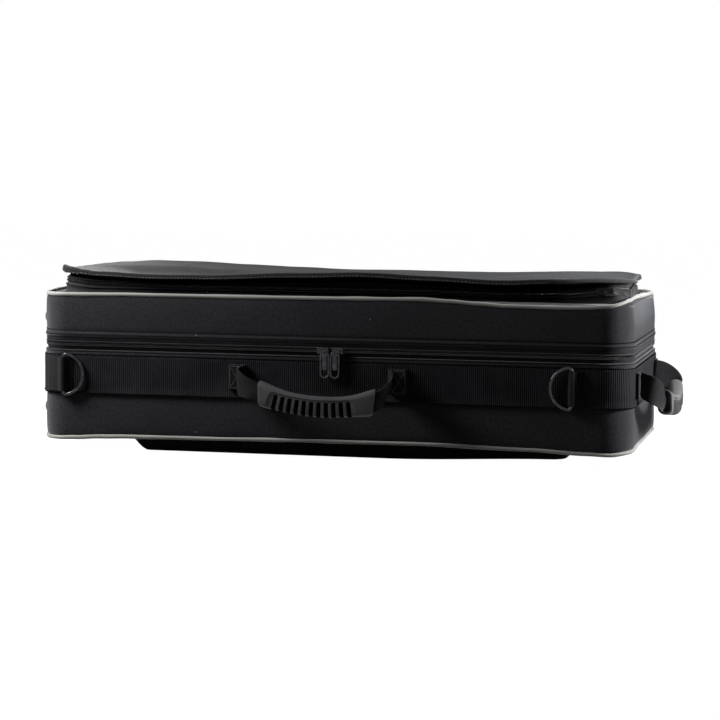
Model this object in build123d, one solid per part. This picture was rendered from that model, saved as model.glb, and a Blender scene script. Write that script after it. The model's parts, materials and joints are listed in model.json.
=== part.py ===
from build123d import *
import os

# Alto saxophone case: a padded, zip-closed box covered in black cloth.
# All sizes in mm. X runs along the case, -Y is the front, Z is up, the floor is at Z = 0.

# The box
case_length = 640
case_depth = 260
corner_radius = 32
floor_to_base = 18.5
base_height = 97.5
lid_height = 54.5
cover_thickness = 1.6
shell_wall = 9
rim_gap = 0.4

# Zip all round the front and the ends, and the cloth hinge along the back
zip_width = 14.5
coil_height = 1.3
tape_thickness = 0.8
hem_height = 5
hem_proud = 1.6
hinge_inset = 60

# Piping on the lower and upper edges
piping_radius = 2.4
piping_inset = 1.0

# Webbing belt round the base
belt_width = 40
belt_thickness = 1.8
belt_below_hem = 0.75

# Inside linings
base_insert_drop = 3.6
lid_insert_drop = 2.6
lining_floor = 3
lid_lining_wall = 16
lid_lining_ceiling = 5
cavity_radius = 14
bow_radius = 28
bay_radius = 7
divider = 9
body_channel_width = 82
cavity_margin = 12
bow_length = 112
bow_width = 206
bell_mouth_from_left = 382
bell_mouth_width = 128
bell_throat_width = 62
bell_flat_length = 70
neck_bay_width = 50

# Accessory pocket on the lid
pocket_left_margin = 22
pocket_right_margin = 6
pocket_side_margin = 16
pocket_corner = 26
pocket_zip_above_lid = 12.5
pocket_zip_width = 7
pocket_coil_height = 0.6
gusset_thickness = 1.6
flap_overhang = 3
flap_above_zip = 5.5
flap_thickness = 4
flap_crown = 4.5
flap_crown_inset = 46
binding_height = 5.6
binding_width = 3
mating_gap = 0.2

# Flat bag for the carrying straps under the base
bag_left_margin = 94
bag_right_margin = 70
bag_side_margin = 25
bag_slope_length = 190
bag_rise = 5.2
bag_left_slope = 20
bag_left_height = 14
bag_corner = 16
strap_end_margin = 31
strap_end_width = 160
strap_end_thickness = 2.2
strap_end_drop = 7

# Carrying handles, one on the front and one on the right end
handle_span = 157
front_handle_x = -10
end_handle_y = -6
handle_above_belt = 1.75
handle_strap_width = 27
handle_strap_thickness = 1.8
anchor_length = 18
grip_length = 126
grip_shift = 6
grip_height = 24
grip_thickness = 15
grip_reach = 36
grip_end_reach = 31
grip_left_drop = 12.5
grip_middle_drop = 25
grip_right_drop = 19.5
grip_corner = 6.3
core_width = 15
core_corner = 1.6
strap_gap = 0.3
strap_bows = ((0, 0), (0.2, 0.4), (0.45, 0.72), (0.72, 0.93))
strap_lean = 1.2
rib_count = 12
rib_panel_length = 94
rib_shift = -3.5
rib_rim = 6.5
rib_depth = 3.2
rib_gap = 4

# D-rings at both ends of the front
ring_inside = 40.4
ring_wire = 3.6
ring_play = 0.1
ring_tab_length = 11
ring_tab_width = 38
left_ring_margin = 29.5
right_ring_margin = 60.5

# Zip sliders and their pullers
slider_length = 12
slider_height = 9
slider_plate = 2.2
slider_corner = 1.8
slider_clearance = 0.4
bridge_height = 4
bridge_radius = 0.8
bridge_length = 7.6
bridge_play = 0.08
eye_radius = 2.1
eye_length = 3
puller_length = 29
puller_width = 9.5
puller_thickness = 1.6
puller_rail = 2
tongue_length = 14.5
tongue_shift = 6.4
left_slider_x = -7
right_slider_x = 10
pocket_slider_margin = 29
pocket_slider_height = 7.5
pocket_puller_length = 33
pocket_puller_tip = 7
pocket_puller_hole = 3.4
pocket_puller_hole_from_tip = 5

# Feet on the left end
foot_radius = 9
foot_height = 9
foot_flat_radius = 4
foot_rim_height = 2.25
foot_shoulder_across = 0.82
foot_shoulder_up = 0.72
foot_from_front = 50
base_foot_above_base = 24
lid_foot_below_lid = 29
rivet_radius = 2.4
rivet_head_radius = 6
rivet_head_height = 1.4

# Levels and faces that follow from the sizes above
base_z = floor_to_base
parting_z = base_z + base_height
lid_z = parting_z + lid_height
base_edge_z = parting_z - zip_width / 2
lid_edge_z = parting_z + zip_width / 2
front_y = -case_depth / 2
left_x = -case_length / 2
right_x = case_length / 2
belt_face = case_depth / 2 + belt_thickness
belt_end_face = case_length / 2 + belt_thickness
belt_z = base_edge_z - hem_height - belt_below_hem - belt_width / 2
lining_inset = cover_thickness + shell_wall
tray_floor_z = base_z + cover_thickness + shell_wall
lid_ceiling_z = lid_z - cover_thickness - shell_wall
cavity_floor_z = tray_floor_z + lining_floor
base_lining_z = parting_z - base_insert_drop
lid_lining_z = parting_z + lid_insert_drop
pocket_zip_z = lid_z + pocket_zip_above_lid
flap_z = pocket_zip_z + flap_above_zip
handle_z = belt_z + handle_above_belt
bell_mouth_x = left_x + bell_mouth_from_left
left_ring_x = left_x + left_ring_margin
right_ring_x = right_x - right_ring_margin
pocket_length = case_length - pocket_left_margin - pocket_right_margin
pocket_depth = case_depth - 2 * pocket_side_margin
pocket_shift = (pocket_left_margin - pocket_right_margin) / 2
pocket_slider_x = right_x - pocket_right_margin - pocket_slider_margin
bag_left = left_x + bag_left_margin
bag_right = right_x - bag_right_margin
bag_flat_end = bag_right - bag_slope_length
bag_width = case_depth - 2 * bag_side_margin
strap_end_left = left_x + strap_end_margin
over = 5


def block(x_low, x_high, y_low, y_high, z_low, z_high):
    """A plain box between two corners."""
    size = Box(x_high - x_low, y_high - y_low, z_high - z_low)
    return Pos((x_low + x_high) / 2, (y_low + y_high) / 2, (z_low + z_high) / 2) * size


def slab(inset, low, high):
    """The case's outline, drawn in by inset, between two levels."""
    outline = RectangleRounded(case_length - 2 * inset, case_depth - 2 * inset, corner_radius - inset)
    return Pos(0, 0, low) * extrude(outline, high - low)


def band(inset, wall, low, high):
    """A wall that follows the case's outline, its outer face inset from the cover's face."""
    return slab(inset, low, high) - slab(inset + wall, low - over, high + over)


def pocket_slab(inset, low, high):
    """The pocket's outline, drawn in by inset, between two levels."""
    outline = RectangleRounded(pocket_length - 2 * inset, pocket_depth - 2 * inset, pocket_corner - inset)
    return Pos(pocket_shift, 0, low) * extrude(outline, high - low)


def pocket_band(inset, wall, low, high):
    """A wall that follows the pocket's outline."""
    return pocket_slab(inset, low, high) - pocket_slab(inset + wall, low - over, high + over)


def piping(level):
    """A round bead along the edge of the case."""
    half_x = case_length / 2 - piping_inset
    half_y = case_depth / 2 - piping_inset
    outline = RectangleRounded(2 * half_x, 2 * half_y, corner_radius - piping_inset)
    path = Pos(0, 0, level) * outline.wire()
    start = Plane(origin=path @ 0, z_dir=path % 0)
    return sweep(start * Circle(piping_radius), path)


def back_span(low, high):
    """The stretch of the back wall that the cloth hinge takes."""
    reach = case_length / 2 - hinge_inset
    back_y = case_depth / 2
    return block(-reach, reach, back_y - corner_radius / 2, back_y + over, low - over, high + over)


def rivets(level):
    """The two rivets that hold one pair of feet, in the left end wall."""
    pair = []
    shank_length = foot_height / 2 + cover_thickness + shell_wall
    shank = Pos(0, 0, shank_length / 2) * Cylinder(rivet_radius, shank_length)
    head_middle = shank_length - rivet_head_height / 2
    rivet = shank + Pos(0, 0, head_middle) * Cylinder(rivet_head_radius, rivet_head_height)
    for side in (-1, 1):
        y = side * (case_depth / 2 - foot_from_front)
        pair.append(Pos(left_x - foot_height / 2, y, level) * Rot(0, 90, 0) * rivet)
    return pair


def feet(level):
    """Two low domes with small flat tips on the left end."""
    pair = []
    for side in (-1, 1):
        y = side * (case_depth / 2 - foot_from_front)
        profile = make_face(
            [
                Line((0, 0), (foot_radius, 0)),
                Line((foot_radius, 0), (foot_radius, foot_rim_height)),
                ThreePointArc(
                    (foot_radius, foot_rim_height),
                    (foot_radius * foot_shoulder_across, foot_height * foot_shoulder_up),
                    (foot_flat_radius, foot_height),
                ),
                Line((foot_flat_radius, foot_height), (0, foot_height)),
                Line((0, foot_height), (0, 0)),
            ]
        )
        dome = revolve(Plane.XZ * profile, Axis.Z)
        pair.append(Pos(left_x, y, level) * Rot(0, -90, 0) * dome)
    return pair


def cut_all(solid, tools):
    for tool in tools:
        solid = solid - tool
    return solid


def base_shell(tools):
    """The stiff moulded tray."""
    outer = slab(cover_thickness, base_z + cover_thickness, parting_z - rim_gap)
    hollow = slab(lining_inset, tray_floor_z, parting_z + over)
    return cut_all(outer - hollow, tools)


def lid_shell(tools):
    """The stiff moulded lid."""
    outer = slab(cover_thickness, parting_z + rim_gap, lid_z - cover_thickness)
    hollow = slab(lining_inset, parting_z - over, lid_ceiling_z)
    return cut_all(outer - hollow, tools)


def base_side_cover(tools):
    """Cloth round the side of the base, with a turned hem under the zip."""
    wall = band(0, cover_thickness, base_z + cover_thickness, base_edge_z)
    hem = band(-hem_proud, hem_proud, base_edge_z - hem_height, base_edge_z)
    return cut_all(wall + hem, tools)


def lid_side_cover(tools):
    """Cloth round the side of the lid, with a turned hem over the zip."""
    wall = band(0, cover_thickness, lid_edge_z, lid_z - cover_thickness)
    hem = band(-hem_proud, hem_proud, lid_edge_z, lid_edge_z + hem_height)
    return cut_all(wall + hem, tools)


def zip_tape(low, high):
    """One half of the zip's tape, round the front and the ends."""
    return band(tape_thickness, cover_thickness - tape_thickness, low, high) - back_span(low, high)


def zip_coil(low, high):
    """One half of the zip's coil."""
    return band(0, cover_thickness, low, high) - back_span(low, high)


def hinge_cloth(low, high):
    """One half of the cloth that joins lid and base along the back."""
    return band(0, cover_thickness, low, high) & back_span(low, high)


def flat_shape(x_low, x_high, y_low, y_high, radius):
    """A rounded rectangle on the floor plane, given by its edges."""
    face = RectangleRounded(x_high - x_low, y_high - y_low, radius)
    return Pos((x_low + x_high) / 2, (y_low + y_high) / 2) * face


def instrument_outline():
    """The plan of the hollow for the instrument: body channel, bow and bell."""
    left = left_x + lining_inset + cavity_margin
    right = right_x - lining_inset - cavity_margin
    front = front_y + lining_inset + cavity_margin
    channel = flat_shape(left, right, front, front + body_channel_width, cavity_radius)
    bow = flat_shape(left, left + bow_length, front, front + bow_width, bow_radius)
    back = front + bow_width
    bell_centre = back - bell_mouth_width / 2
    flat_start = bell_mouth_x - bell_flat_length
    throat_x = left + bow_length / 2
    bell = Polygon(
        (throat_x, bell_centre - bell_throat_width / 2),
        (flat_start, bell_centre - bell_mouth_width / 2),
        (bell_mouth_x, bell_centre - bell_mouth_width / 2),
        (bell_mouth_x, back),
        (flat_start, back),
        (throat_x, bell_centre + bell_throat_width / 2),
        align=None,
    )
    return channel + bow + bell


def bay_outlines():
    """The plans of the two open bays beside the bell."""
    left = bell_mouth_x + divider
    right = right_x - lining_inset - cavity_margin
    front = front_y + lining_inset + cavity_margin
    back = front + bow_width
    neck_front = back - neck_bay_width
    low = front + body_channel_width + divider
    neck_bay = flat_shape(left, right, neck_front, back, bay_radius)
    accessory_bay = flat_shape(left, right, low, neck_front - divider, bay_radius)
    return [neck_bay, accessory_bay]


def base_insert():
    """The plush-covered foam that holds the instrument."""
    foam = slab(lining_inset, tray_floor_z, base_lining_z)
    depth = base_lining_z - cavity_floor_z + over
    for outline in [instrument_outline()] + bay_outlines():
        foam = foam - Pos(0, 0, cavity_floor_z) * extrude(outline, depth)
    return foam


def lid_insert():
    """The plush-covered foam in the lid."""
    foam = slab(lining_inset, lid_lining_z, lid_ceiling_z)
    hollow = slab(lining_inset + lid_lining_wall, lid_lining_z - over, lid_ceiling_z - lid_lining_ceiling)
    return foam - hollow


def flap_panel():
    """The padded top of the pocket, a little crowned."""
    inset = binding_width - flap_overhang
    rim = pocket_slab(inset, flap_z, flap_z + flap_thickness)
    low = RectangleRounded(pocket_length - 2 * inset, pocket_depth - 2 * inset, pocket_corner - inset)
    top_inset = inset + flap_crown_inset
    top = RectangleRounded(pocket_length - 2 * top_inset, pocket_depth - 2 * top_inset, pocket_corner)
    level = flap_z + flap_thickness
    crown = loft([Pos(pocket_shift, 0, level) * low, Pos(pocket_shift, 0, level + flap_crown) * top])
    return rim + crown


def flap_binding():
    """The bound edge of the flap."""
    low = flap_z + flap_thickness / 2 - binding_height / 2
    return pocket_band(-flap_overhang, binding_width, low, low + binding_height)


def strap_bag():
    """The flat bag under the base, filled by the stowed straps, flat where it stands."""
    profile = Polygon(
        (bag_left, base_z),
        (bag_left, bag_left_height),
        (bag_left + bag_left_slope, 0),
        (bag_flat_end, 0),
        (bag_right, bag_rise),
        (bag_right, base_z),
        align=None,
    )
    bag = extrude(Plane.XZ * profile, bag_width / 2, both=True)
    return fillet(bag.edges().filter_by(Axis.Z), bag_corner)


def strap_end():
    """A webbing end sewn under the base that runs into the bag."""
    profile = Polygon(
        (strap_end_left, base_z),
        (strap_end_left, base_z - strap_end_thickness),
        (bag_left, base_z - strap_end_drop - strap_end_thickness),
        (bag_left, base_z - strap_end_drop),
        align=None,
    )
    return extrude(Plane.XZ * profile, strap_end_width / 2, both=True)


def on_front(solid):
    """Put a handle's piece, drawn about its own middle, on the front of the belt."""
    return Pos(front_handle_x, -belt_face, handle_z) * solid


def on_end(solid):
    """Put a handle's piece on the right end of the belt."""
    return Pos(belt_end_face, end_handle_y, handle_z) * Rot(0, 0, 90) * solid


def handle_anchor(side):
    """A box-stitched double end of the handle's strap."""
    fold = side * handle_span / 2
    low = min(fold, fold + side * anchor_length)
    half = handle_strap_width / 2
    return block(low, low + anchor_length, -2 * handle_strap_thickness, 0, -half, half)


def grip_path():
    """The bowed middle line of the grip."""
    half = grip_length / 2
    return ThreePointArc(
        (grip_shift - half, -grip_end_reach, -grip_left_drop),
        (grip_shift, -grip_reach, -grip_middle_drop),
        (grip_shift + half, -grip_end_reach, -grip_right_drop),
    )


def along_grip(width, height, radius):
    """A bar with a rounded section along the grip's middle line."""
    path = grip_path()
    start = Plane(origin=path @ 0, x_dir=(0, 1, 0), z_dir=path % 0)
    section = RectangleRounded(width, height, radius)
    return sweep(start * section, path)


def handle_core():
    """The folded strap inside the grip."""
    return along_grip(2 * handle_strap_thickness, core_width, core_corner)


def handle_grip():
    """The moulded grip, with a sunk panel of ribs on its outer face."""
    grip = along_grip(grip_thickness, grip_height, grip_corner) - handle_core()
    path = grip_path()
    pitch = rib_panel_length / rib_count
    for index in range(rib_count - 1):
        share = 0.5 + (rib_shift + (index - (rib_count - 2) / 2) * pitch) / grip_length
        place = Plane(origin=path @ share, x_dir=path % share, z_dir=(0, -1, 0))
        slot = Box(rib_gap, grip_height, 2 * rib_depth)
        grip = grip - place * Pos(0, -rib_rim, grip_thickness / 2) * slot
    return grip


def handle_strap(side):
    """The strap between one anchor and the grip, bowed out from the case."""
    path = grip_path()
    at = 0 if side < 0 else 1
    inward = (path % at) * -side
    end = path @ at - inward * strap_gap
    width = 2 * handle_strap_thickness
    root = Vector(side * (handle_span / 2 - width / 2 - strap_gap), -width / 2, 0)
    reach = end - root
    sections = []
    for share, bow in strap_bows:
        height = handle_strap_width + (core_width - handle_strap_width) * share
        turn = Vector(reach.X, reach.Y * (strap_lean - share), 0)
        across = Vector(-turn.Y, turn.X, 0) * -side
        middle = root + Vector(reach.X * share, reach.Y * bow, reach.Z * share)
        place = Plane(origin=middle, x_dir=across, z_dir=turn)
        sections.append(place * Rectangle(width, height))
    last = Plane(origin=end, x_dir=(0, 1, 0), z_dir=inward)
    sections.append(last * Rectangle(width, core_width))
    return loft(sections, ruled=True)


def d_ring(mirror_side):
    """A D-ring with its bar upright and its bow to one side, about the middle of the bar."""
    radius = (ring_inside + ring_wire) / 2
    wire = ring_wire / 2
    bar = Cylinder(wire, 2 * radius)
    bow_path = ThreePointArc((0, 0, -radius), (mirror_side * radius, 0, 0), (0, 0, radius))
    bow = sweep(Plane(origin=bow_path @ 0, z_dir=bow_path % 0) * Circle(wire), bow_path)
    corners = [Pos(0, 0, side * radius) * Sphere(wire) for side in (-1, 1)]
    return bar + bow + corners[0] + corners[1]


def ring_place(x):
    reach = belt_thickness + ring_play + ring_wire / 2
    return Pos(x, -belt_face - reach, belt_z)


def ring_tab(x, side):
    """The webbing tab that wraps round the ring's bar and is sewn to the belt."""
    reach = belt_thickness + ring_play + ring_wire / 2
    half = ring_tab_width / 2
    sleeve = Cylinder(reach, ring_tab_width)
    low = min(0, side * ring_tab_length)
    plate = block(low, low + ring_tab_length, reach - 2 * belt_thickness, reach, -half, half)
    bore = Cylinder(ring_wire / 2 + ring_play, ring_tab_width + over)
    return ring_place(x) * ((sleeve + plate) - bore)


def slider(height, bridge_turn):
    """A slider's face plate with its bridge, about the middle of the plate's back face."""
    plate = block(-slider_length / 2, slider_length / 2, -slider_plate, 0, -height / 2, height / 2)
    plate = fillet(plate.edges().filter_by(Axis.Y), slider_corner)
    reach = slider_plate + bridge_height
    radius = bridge_radius
    bridge = Pos(0, -reach, 0) * Rot(0, 90, 0) * Cylinder(radius, bridge_length)
    for side in (-1, 1):
        x = side * (bridge_length / 2 - radius)
        bridge = bridge + block(x - radius, x + radius, -reach, -slider_plate / 2, -radius, radius)
    return plate + Rot(0, bridge_turn, 0) * bridge


def with_eye(body):
    """Give a puller its eye, bored for the slider's bridge."""
    eye = Rot(0, 90, 0) * Cylinder(eye_radius, eye_length)
    bore = Rot(0, 90, 0) * Cylinder(bridge_radius + bridge_play, eye_length + over)
    return (eye + body) - bore


def loop_puller():
    """A long loop with a tongue inside it, hanging from its eye."""
    half = puller_thickness / 2
    outline = SlotOverall(puller_length - eye_radius, puller_width)
    inside = SlotOverall(puller_length - eye_radius - 2 * puller_rail, puller_width - 2 * puller_rail)
    tongue = Rectangle(tongue_length, puller_rail)
    middle = eye_radius + (puller_length - eye_radius) / 2
    sketch = (outline - inside) + Pos(-tongue_shift, 0) * tongue
    frame = Plane(origin=(0, 0, -middle), x_dir=(0, 0, -1), z_dir=(0, -1, 0))
    loop = extrude(frame * sketch, half, both=True)
    neck = block(-eye_length / 2, eye_length / 2, -half, half, -2 * eye_radius, 0)
    return with_eye(neck + loop)


def tab_puller():
    """A flat tapered puller with a hole, hanging from its eye."""
    half = puller_thickness / 2
    end = pocket_puller_length
    sketch = Polygon(
        (eye_radius / 2, -eye_length / 2),
        (end, -pocket_puller_tip / 2),
        (end, pocket_puller_tip / 2),
        (eye_radius / 2, eye_length / 2),
        align=None,
    )
    hole = Pos(end - pocket_puller_hole_from_tip, 0) * Circle(pocket_puller_hole / 2)
    frame = Plane(origin=(0, 0, 0), x_dir=(0, 0, -1), z_dir=(0, -1, 0))
    blade = extrude(frame * (sketch - hole), half, both=True)
    return with_eye(blade)


def slider_place(x):
    return Pos(x, front_y - slider_clearance, parting_z)


def puller_place(x):
    return Pos(x, front_y - slider_clearance - slider_plate - bridge_height, parting_z)


def pocket_slider_place(extra):
    """On the front of the pocket's zip."""
    y = -pocket_depth / 2 - slider_clearance - extra
    return Pos(pocket_slider_x, y, pocket_zip_z)


def build():
    base_piping = piping(base_z)
    lid_piping = piping(lid_z)
    base_foot_z = base_z + base_foot_above_base
    lid_foot_z = lid_z - lid_foot_below_lid
    base_rivets = rivets(base_foot_z)
    lid_rivets = rivets(lid_foot_z)
    tape_low = pocket_zip_z - pocket_zip_width / 2
    tape_high = pocket_zip_z + pocket_zip_width / 2
    coil_low = pocket_zip_z - mating_gap - pocket_coil_height
    coil_high = pocket_zip_z + mating_gap + pocket_coil_height
    bridge_reach = slider_plate + bridge_height
    belt_low = belt_z - belt_width / 2
    parts = {
        "base_shell": base_shell(base_rivets + [base_piping]),
        "base_side_cover": base_side_cover(base_rivets + [base_piping]),
        "base_bottom_cover": slab(0, base_z, base_z + cover_thickness) - base_piping,
        "base_piping": base_piping,
        "base_insert": base_insert(),
        "base_zip_tape": zip_tape(base_edge_z, parting_z - mating_gap - coil_height),
        "base_zip_coil": zip_coil(parting_z - mating_gap - coil_height, parting_z - mating_gap),
        "base_hinge_cloth": hinge_cloth(base_edge_z, parting_z - mating_gap),
        "belt_webbing": band(-belt_thickness, belt_thickness, belt_low, belt_low + belt_width),
        "strap_bag": strap_bag(),
        "strap_end": strap_end(),
        "base_feet": [cut_all(foot, base_rivets) for foot in feet(base_foot_z)],
        "base_foot_rivets": base_rivets,
        "left_ring_tab": ring_tab(left_ring_x, -1),
        "right_ring_tab": ring_tab(right_ring_x, 1),
        "left_d_ring": ring_place(left_ring_x) * d_ring(1),
        "right_d_ring": ring_place(right_ring_x) * d_ring(-1),
        "lid_shell": lid_shell(lid_rivets + [lid_piping]),
        "lid_side_cover": lid_side_cover(lid_rivets + [lid_piping]),
        "lid_top_cover": slab(0, lid_z - cover_thickness, lid_z) - lid_piping,
        "lid_piping": lid_piping,
        "lid_insert": lid_insert(),
        "lid_zip_tape": zip_tape(parting_z + mating_gap + coil_height, lid_edge_z),
        "lid_zip_coil": zip_coil(parting_z + mating_gap, parting_z + mating_gap + coil_height),
        "lid_hinge_cloth": hinge_cloth(parting_z + mating_gap, lid_edge_z),
        "lid_feet": [cut_all(foot, lid_rivets) for foot in feet(lid_foot_z)],
        "lid_foot_rivets": lid_rivets,
        "pocket_lower_gusset": pocket_band(0, gusset_thickness, lid_z, tape_low),
        "pocket_lower_tape": pocket_band(tape_thickness / 2, tape_thickness, tape_low, coil_low),
        "pocket_lower_coil": pocket_band(0, gusset_thickness, coil_low, coil_low + pocket_coil_height),
        "pocket_upper_coil": pocket_band(0, gusset_thickness, coil_high - pocket_coil_height, coil_high),
        "pocket_upper_tape": pocket_band(tape_thickness / 2, tape_thickness, coil_high, tape_high),
        "pocket_upper_gusset": pocket_band(0, gusset_thickness, tape_high, flap_z),
        "pocket_flap": flap_panel(),
        "pocket_flap_binding": flap_binding(),
        "left_slider": slider_place(left_slider_x) * slider(slider_height, 0),
        "right_slider": slider_place(right_slider_x) * slider(slider_height, 0),
        "left_puller": puller_place(left_slider_x) * loop_puller(),
        "right_puller": puller_place(right_slider_x) * loop_puller(),
        "pocket_slider": pocket_slider_place(0) * slider(pocket_slider_height, 90),
        "pocket_puller": pocket_slider_place(bridge_reach) * Rot(0, -90, 0) * tab_puller(),
    }
    for name, place in (("front", on_front), ("end", on_end)):
        parts[name + "_handle_anchors"] = [place(handle_anchor(side)) for side in (-1, 1)]
        parts[name + "_handle_grip"] = place(handle_grip())
        parts[name + "_handle_core"] = place(handle_core())
        for label, side in (("near", -1), ("far", 1)):
            parts[name + "_handle_strap_" + label] = place(handle_strap(side))
    return parts


os.makedirs("parts", exist_ok=True)
for name, shape in build().items():
    if isinstance(shape, list):
        shape = Compound(children=shape)
    export_step(shape, os.path.join("parts", name + ".step"))
print("written")
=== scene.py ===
import json
import math

import bpy
from mathutils import Matrix, Vector, noise

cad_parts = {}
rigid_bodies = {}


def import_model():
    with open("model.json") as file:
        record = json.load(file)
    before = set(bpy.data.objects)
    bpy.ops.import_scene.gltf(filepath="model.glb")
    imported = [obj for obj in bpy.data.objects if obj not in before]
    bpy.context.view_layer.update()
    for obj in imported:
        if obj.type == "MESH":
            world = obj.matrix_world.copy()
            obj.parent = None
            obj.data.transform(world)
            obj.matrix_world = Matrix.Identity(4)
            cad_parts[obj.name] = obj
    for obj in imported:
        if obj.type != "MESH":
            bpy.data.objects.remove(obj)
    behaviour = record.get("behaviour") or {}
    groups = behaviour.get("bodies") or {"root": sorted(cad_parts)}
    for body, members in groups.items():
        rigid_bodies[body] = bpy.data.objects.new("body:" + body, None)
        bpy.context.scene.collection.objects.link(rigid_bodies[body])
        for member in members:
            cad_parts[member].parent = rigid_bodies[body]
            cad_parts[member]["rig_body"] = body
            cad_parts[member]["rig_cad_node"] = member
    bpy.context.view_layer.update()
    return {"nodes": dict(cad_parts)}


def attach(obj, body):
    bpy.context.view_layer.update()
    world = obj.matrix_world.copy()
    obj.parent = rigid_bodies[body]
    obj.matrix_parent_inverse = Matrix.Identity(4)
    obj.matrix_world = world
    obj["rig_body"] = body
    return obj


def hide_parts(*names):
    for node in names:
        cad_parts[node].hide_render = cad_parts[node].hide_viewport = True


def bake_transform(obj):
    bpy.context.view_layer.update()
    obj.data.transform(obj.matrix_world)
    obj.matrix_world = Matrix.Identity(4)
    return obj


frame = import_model()
cadNodes = frame["nodes"]
mm = 0.001
print("frame loaded:", len(cadNodes), "CAD nodes")


# small helpers for working as by hand

def objectMode():
    if bpy.context.object and bpy.context.object.mode != "OBJECT":
        bpy.ops.object.mode_set(mode="OBJECT")


def deselectAll():
    objectMode()
    bpy.ops.object.select_all(action="DESELECT")


def pick(piece):
    deselectAll()
    piece.select_set(True)
    bpy.context.view_layer.objects.active = piece
    return piece


def named(name):
    piece = bpy.context.object
    piece.name = name
    piece.data.name = name
    return piece


def primitive(add, name, **values):
    # adds a piece with one of Blender's own operators
    deselectAll()
    add(**values)
    return named(name)


def grid(name, cells, size=1):
    return primitive(bpy.ops.mesh.primitive_grid_add, name, x_subdivisions=cells[0], y_subdivisions=cells[1], size=size)


def applyPlace(piece):
    pick(piece)
    bpy.ops.object.transform_apply(location=True, rotation=True, scale=True)


def editAll(piece, kind="FACE"):
    pick(piece)
    bpy.ops.object.mode_set(mode="EDIT")
    bpy.ops.mesh.select_mode(type=kind)
    bpy.ops.mesh.select_all(action="SELECT")


def choose(piece, kind, test):
    # selects what passes a test, and leaves the piece in edit mode
    pick(piece)
    bpy.ops.object.mode_set(mode="EDIT")
    bpy.ops.mesh.select_mode(type=kind)
    bpy.ops.mesh.select_all(action="DESELECT")
    bpy.ops.object.mode_set(mode="OBJECT")
    items = {"VERT": piece.data.vertices, "EDGE": piece.data.edges, "FACE": piece.data.polygons}[kind]
    for item in items:
        item.select = test(item)
    bpy.ops.object.mode_set(mode="EDIT")


def edgeLine(piece, edge):
    a, b = (piece.data.vertices[i].co for i in edge.vertices)
    return b - a


def edgeMiddle(piece, edge):
    a, b = (piece.data.vertices[i].co for i in edge.vertices)
    return (a + b) / 2


def alongAxis(piece, edge, axis):
    return abs(edgeLine(piece, edge).normalized()[axis]) > 0.99


def modify(piece, kind, **values):
    modifier = piece.modifiers.new(kind.title(), kind)
    for key, value in values.items():
        setattr(modifier, key, value)
    pick(piece)
    bpy.ops.object.modifier_apply(modifier=modifier.name)


def soften(piece, width, segments, angle):
    # rounds the edges that are sharper than the angle
    modify(piece, "BEVEL", width=width * mm, segments=segments, limit_method="ANGLE",
           angle_limit=math.radians(angle))


def thicken(piece, thickness, offset=-1):
    modify(piece, "SOLIDIFY", thickness=thickness * mm, offset=offset)


def repeat(piece, pitch, count):
    modify(piece, "ARRAY", count=count, use_relative_offset=False, use_constant_offset=True,
           constant_offset_displace=(pitch, 0, 0))


def moveTo(piece, place, turn=Matrix.Identity(4)):
    # place is in mm
    piece.data.transform(Matrix.Translation(Vector(place) * mm) @ turn)


def flip(piece):
    editAll(piece)
    bpy.ops.mesh.flip_normals()
    objectMode()


def putUv(piece, places):
    # one (u, v) pair for each vertex, in metres
    layer = piece.data.uv_layers.active
    for loop in piece.data.loops:
        layer.data[loop.index].uv = places[loop.vertex_index]


def outward(piece):
    editAll(piece)
    bpy.ops.mesh.remove_doubles(threshold=0.00001)
    bpy.ops.mesh.normals_make_consistent(inside=False)
    objectMode()


def between(table, x):
    # a soft curve through (place, value) pairs
    if x <= table[0][0]:
        return table[0][1]
    for (x0, v0), (x1, v1) in zip(table, table[1:]):
        if x <= x1:
            t = (x - x0) / (x1 - x0)
            return v0 + (v1 - v0) * t * t * (3 - 2 * t)
    return table[-1][1]


def ease(x, low, high):
    t = min(1, max(0, (x - low) / (high - low)))
    return t * t * (3 - 2 * t)


def ripple(x, y, z, size):
    # smooth random waves, the same on each run
    return noise.noise(Vector((x / size, y / size, z / size)))


# rounded outlines, such as the case's and the pocket's

def rounded(halfX, halfY, radius, centreX=0):
    return {"halfX": halfX, "halfY": halfY, "radius": radius, "centreX": centreX}


def outlineAt(shape, x, y, side=0):
    # outward direction and distance along the outline, from the middle of the front
    flatX = shape["halfX"] - shape["radius"]
    flatY = shape["halfY"] - shape["radius"]
    x = x - shape["centreX"]
    side = side or (1 if x >= 0 else -1)
    turn = shape["radius"] * math.pi / 2
    if abs(x) <= flatX + 1e-6:
        if y < 0:
            return Vector((0, -1, 0)), x
        return Vector((0, 1, 0)), side * (flatX + 2 * turn + 2 * flatY + flatX - side * x)
    if abs(y) <= flatY + 1e-6:
        return Vector((side, 0, 0)), side * (flatX + turn + y + flatY)
    corner = Vector((abs(x) - flatX, abs(y) - flatY, 0)).normalized()
    angle = math.atan2(corner.x, corner.y)
    if y < 0:
        return Vector((side * corner.x, -corner.y, 0)), side * (flatX + shape["radius"] * angle)
    start = flatX + turn + 2 * flatY
    return Vector((side * corner.x, corner.y, 0)), side * (start + turn - shape["radius"] * angle)


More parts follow.
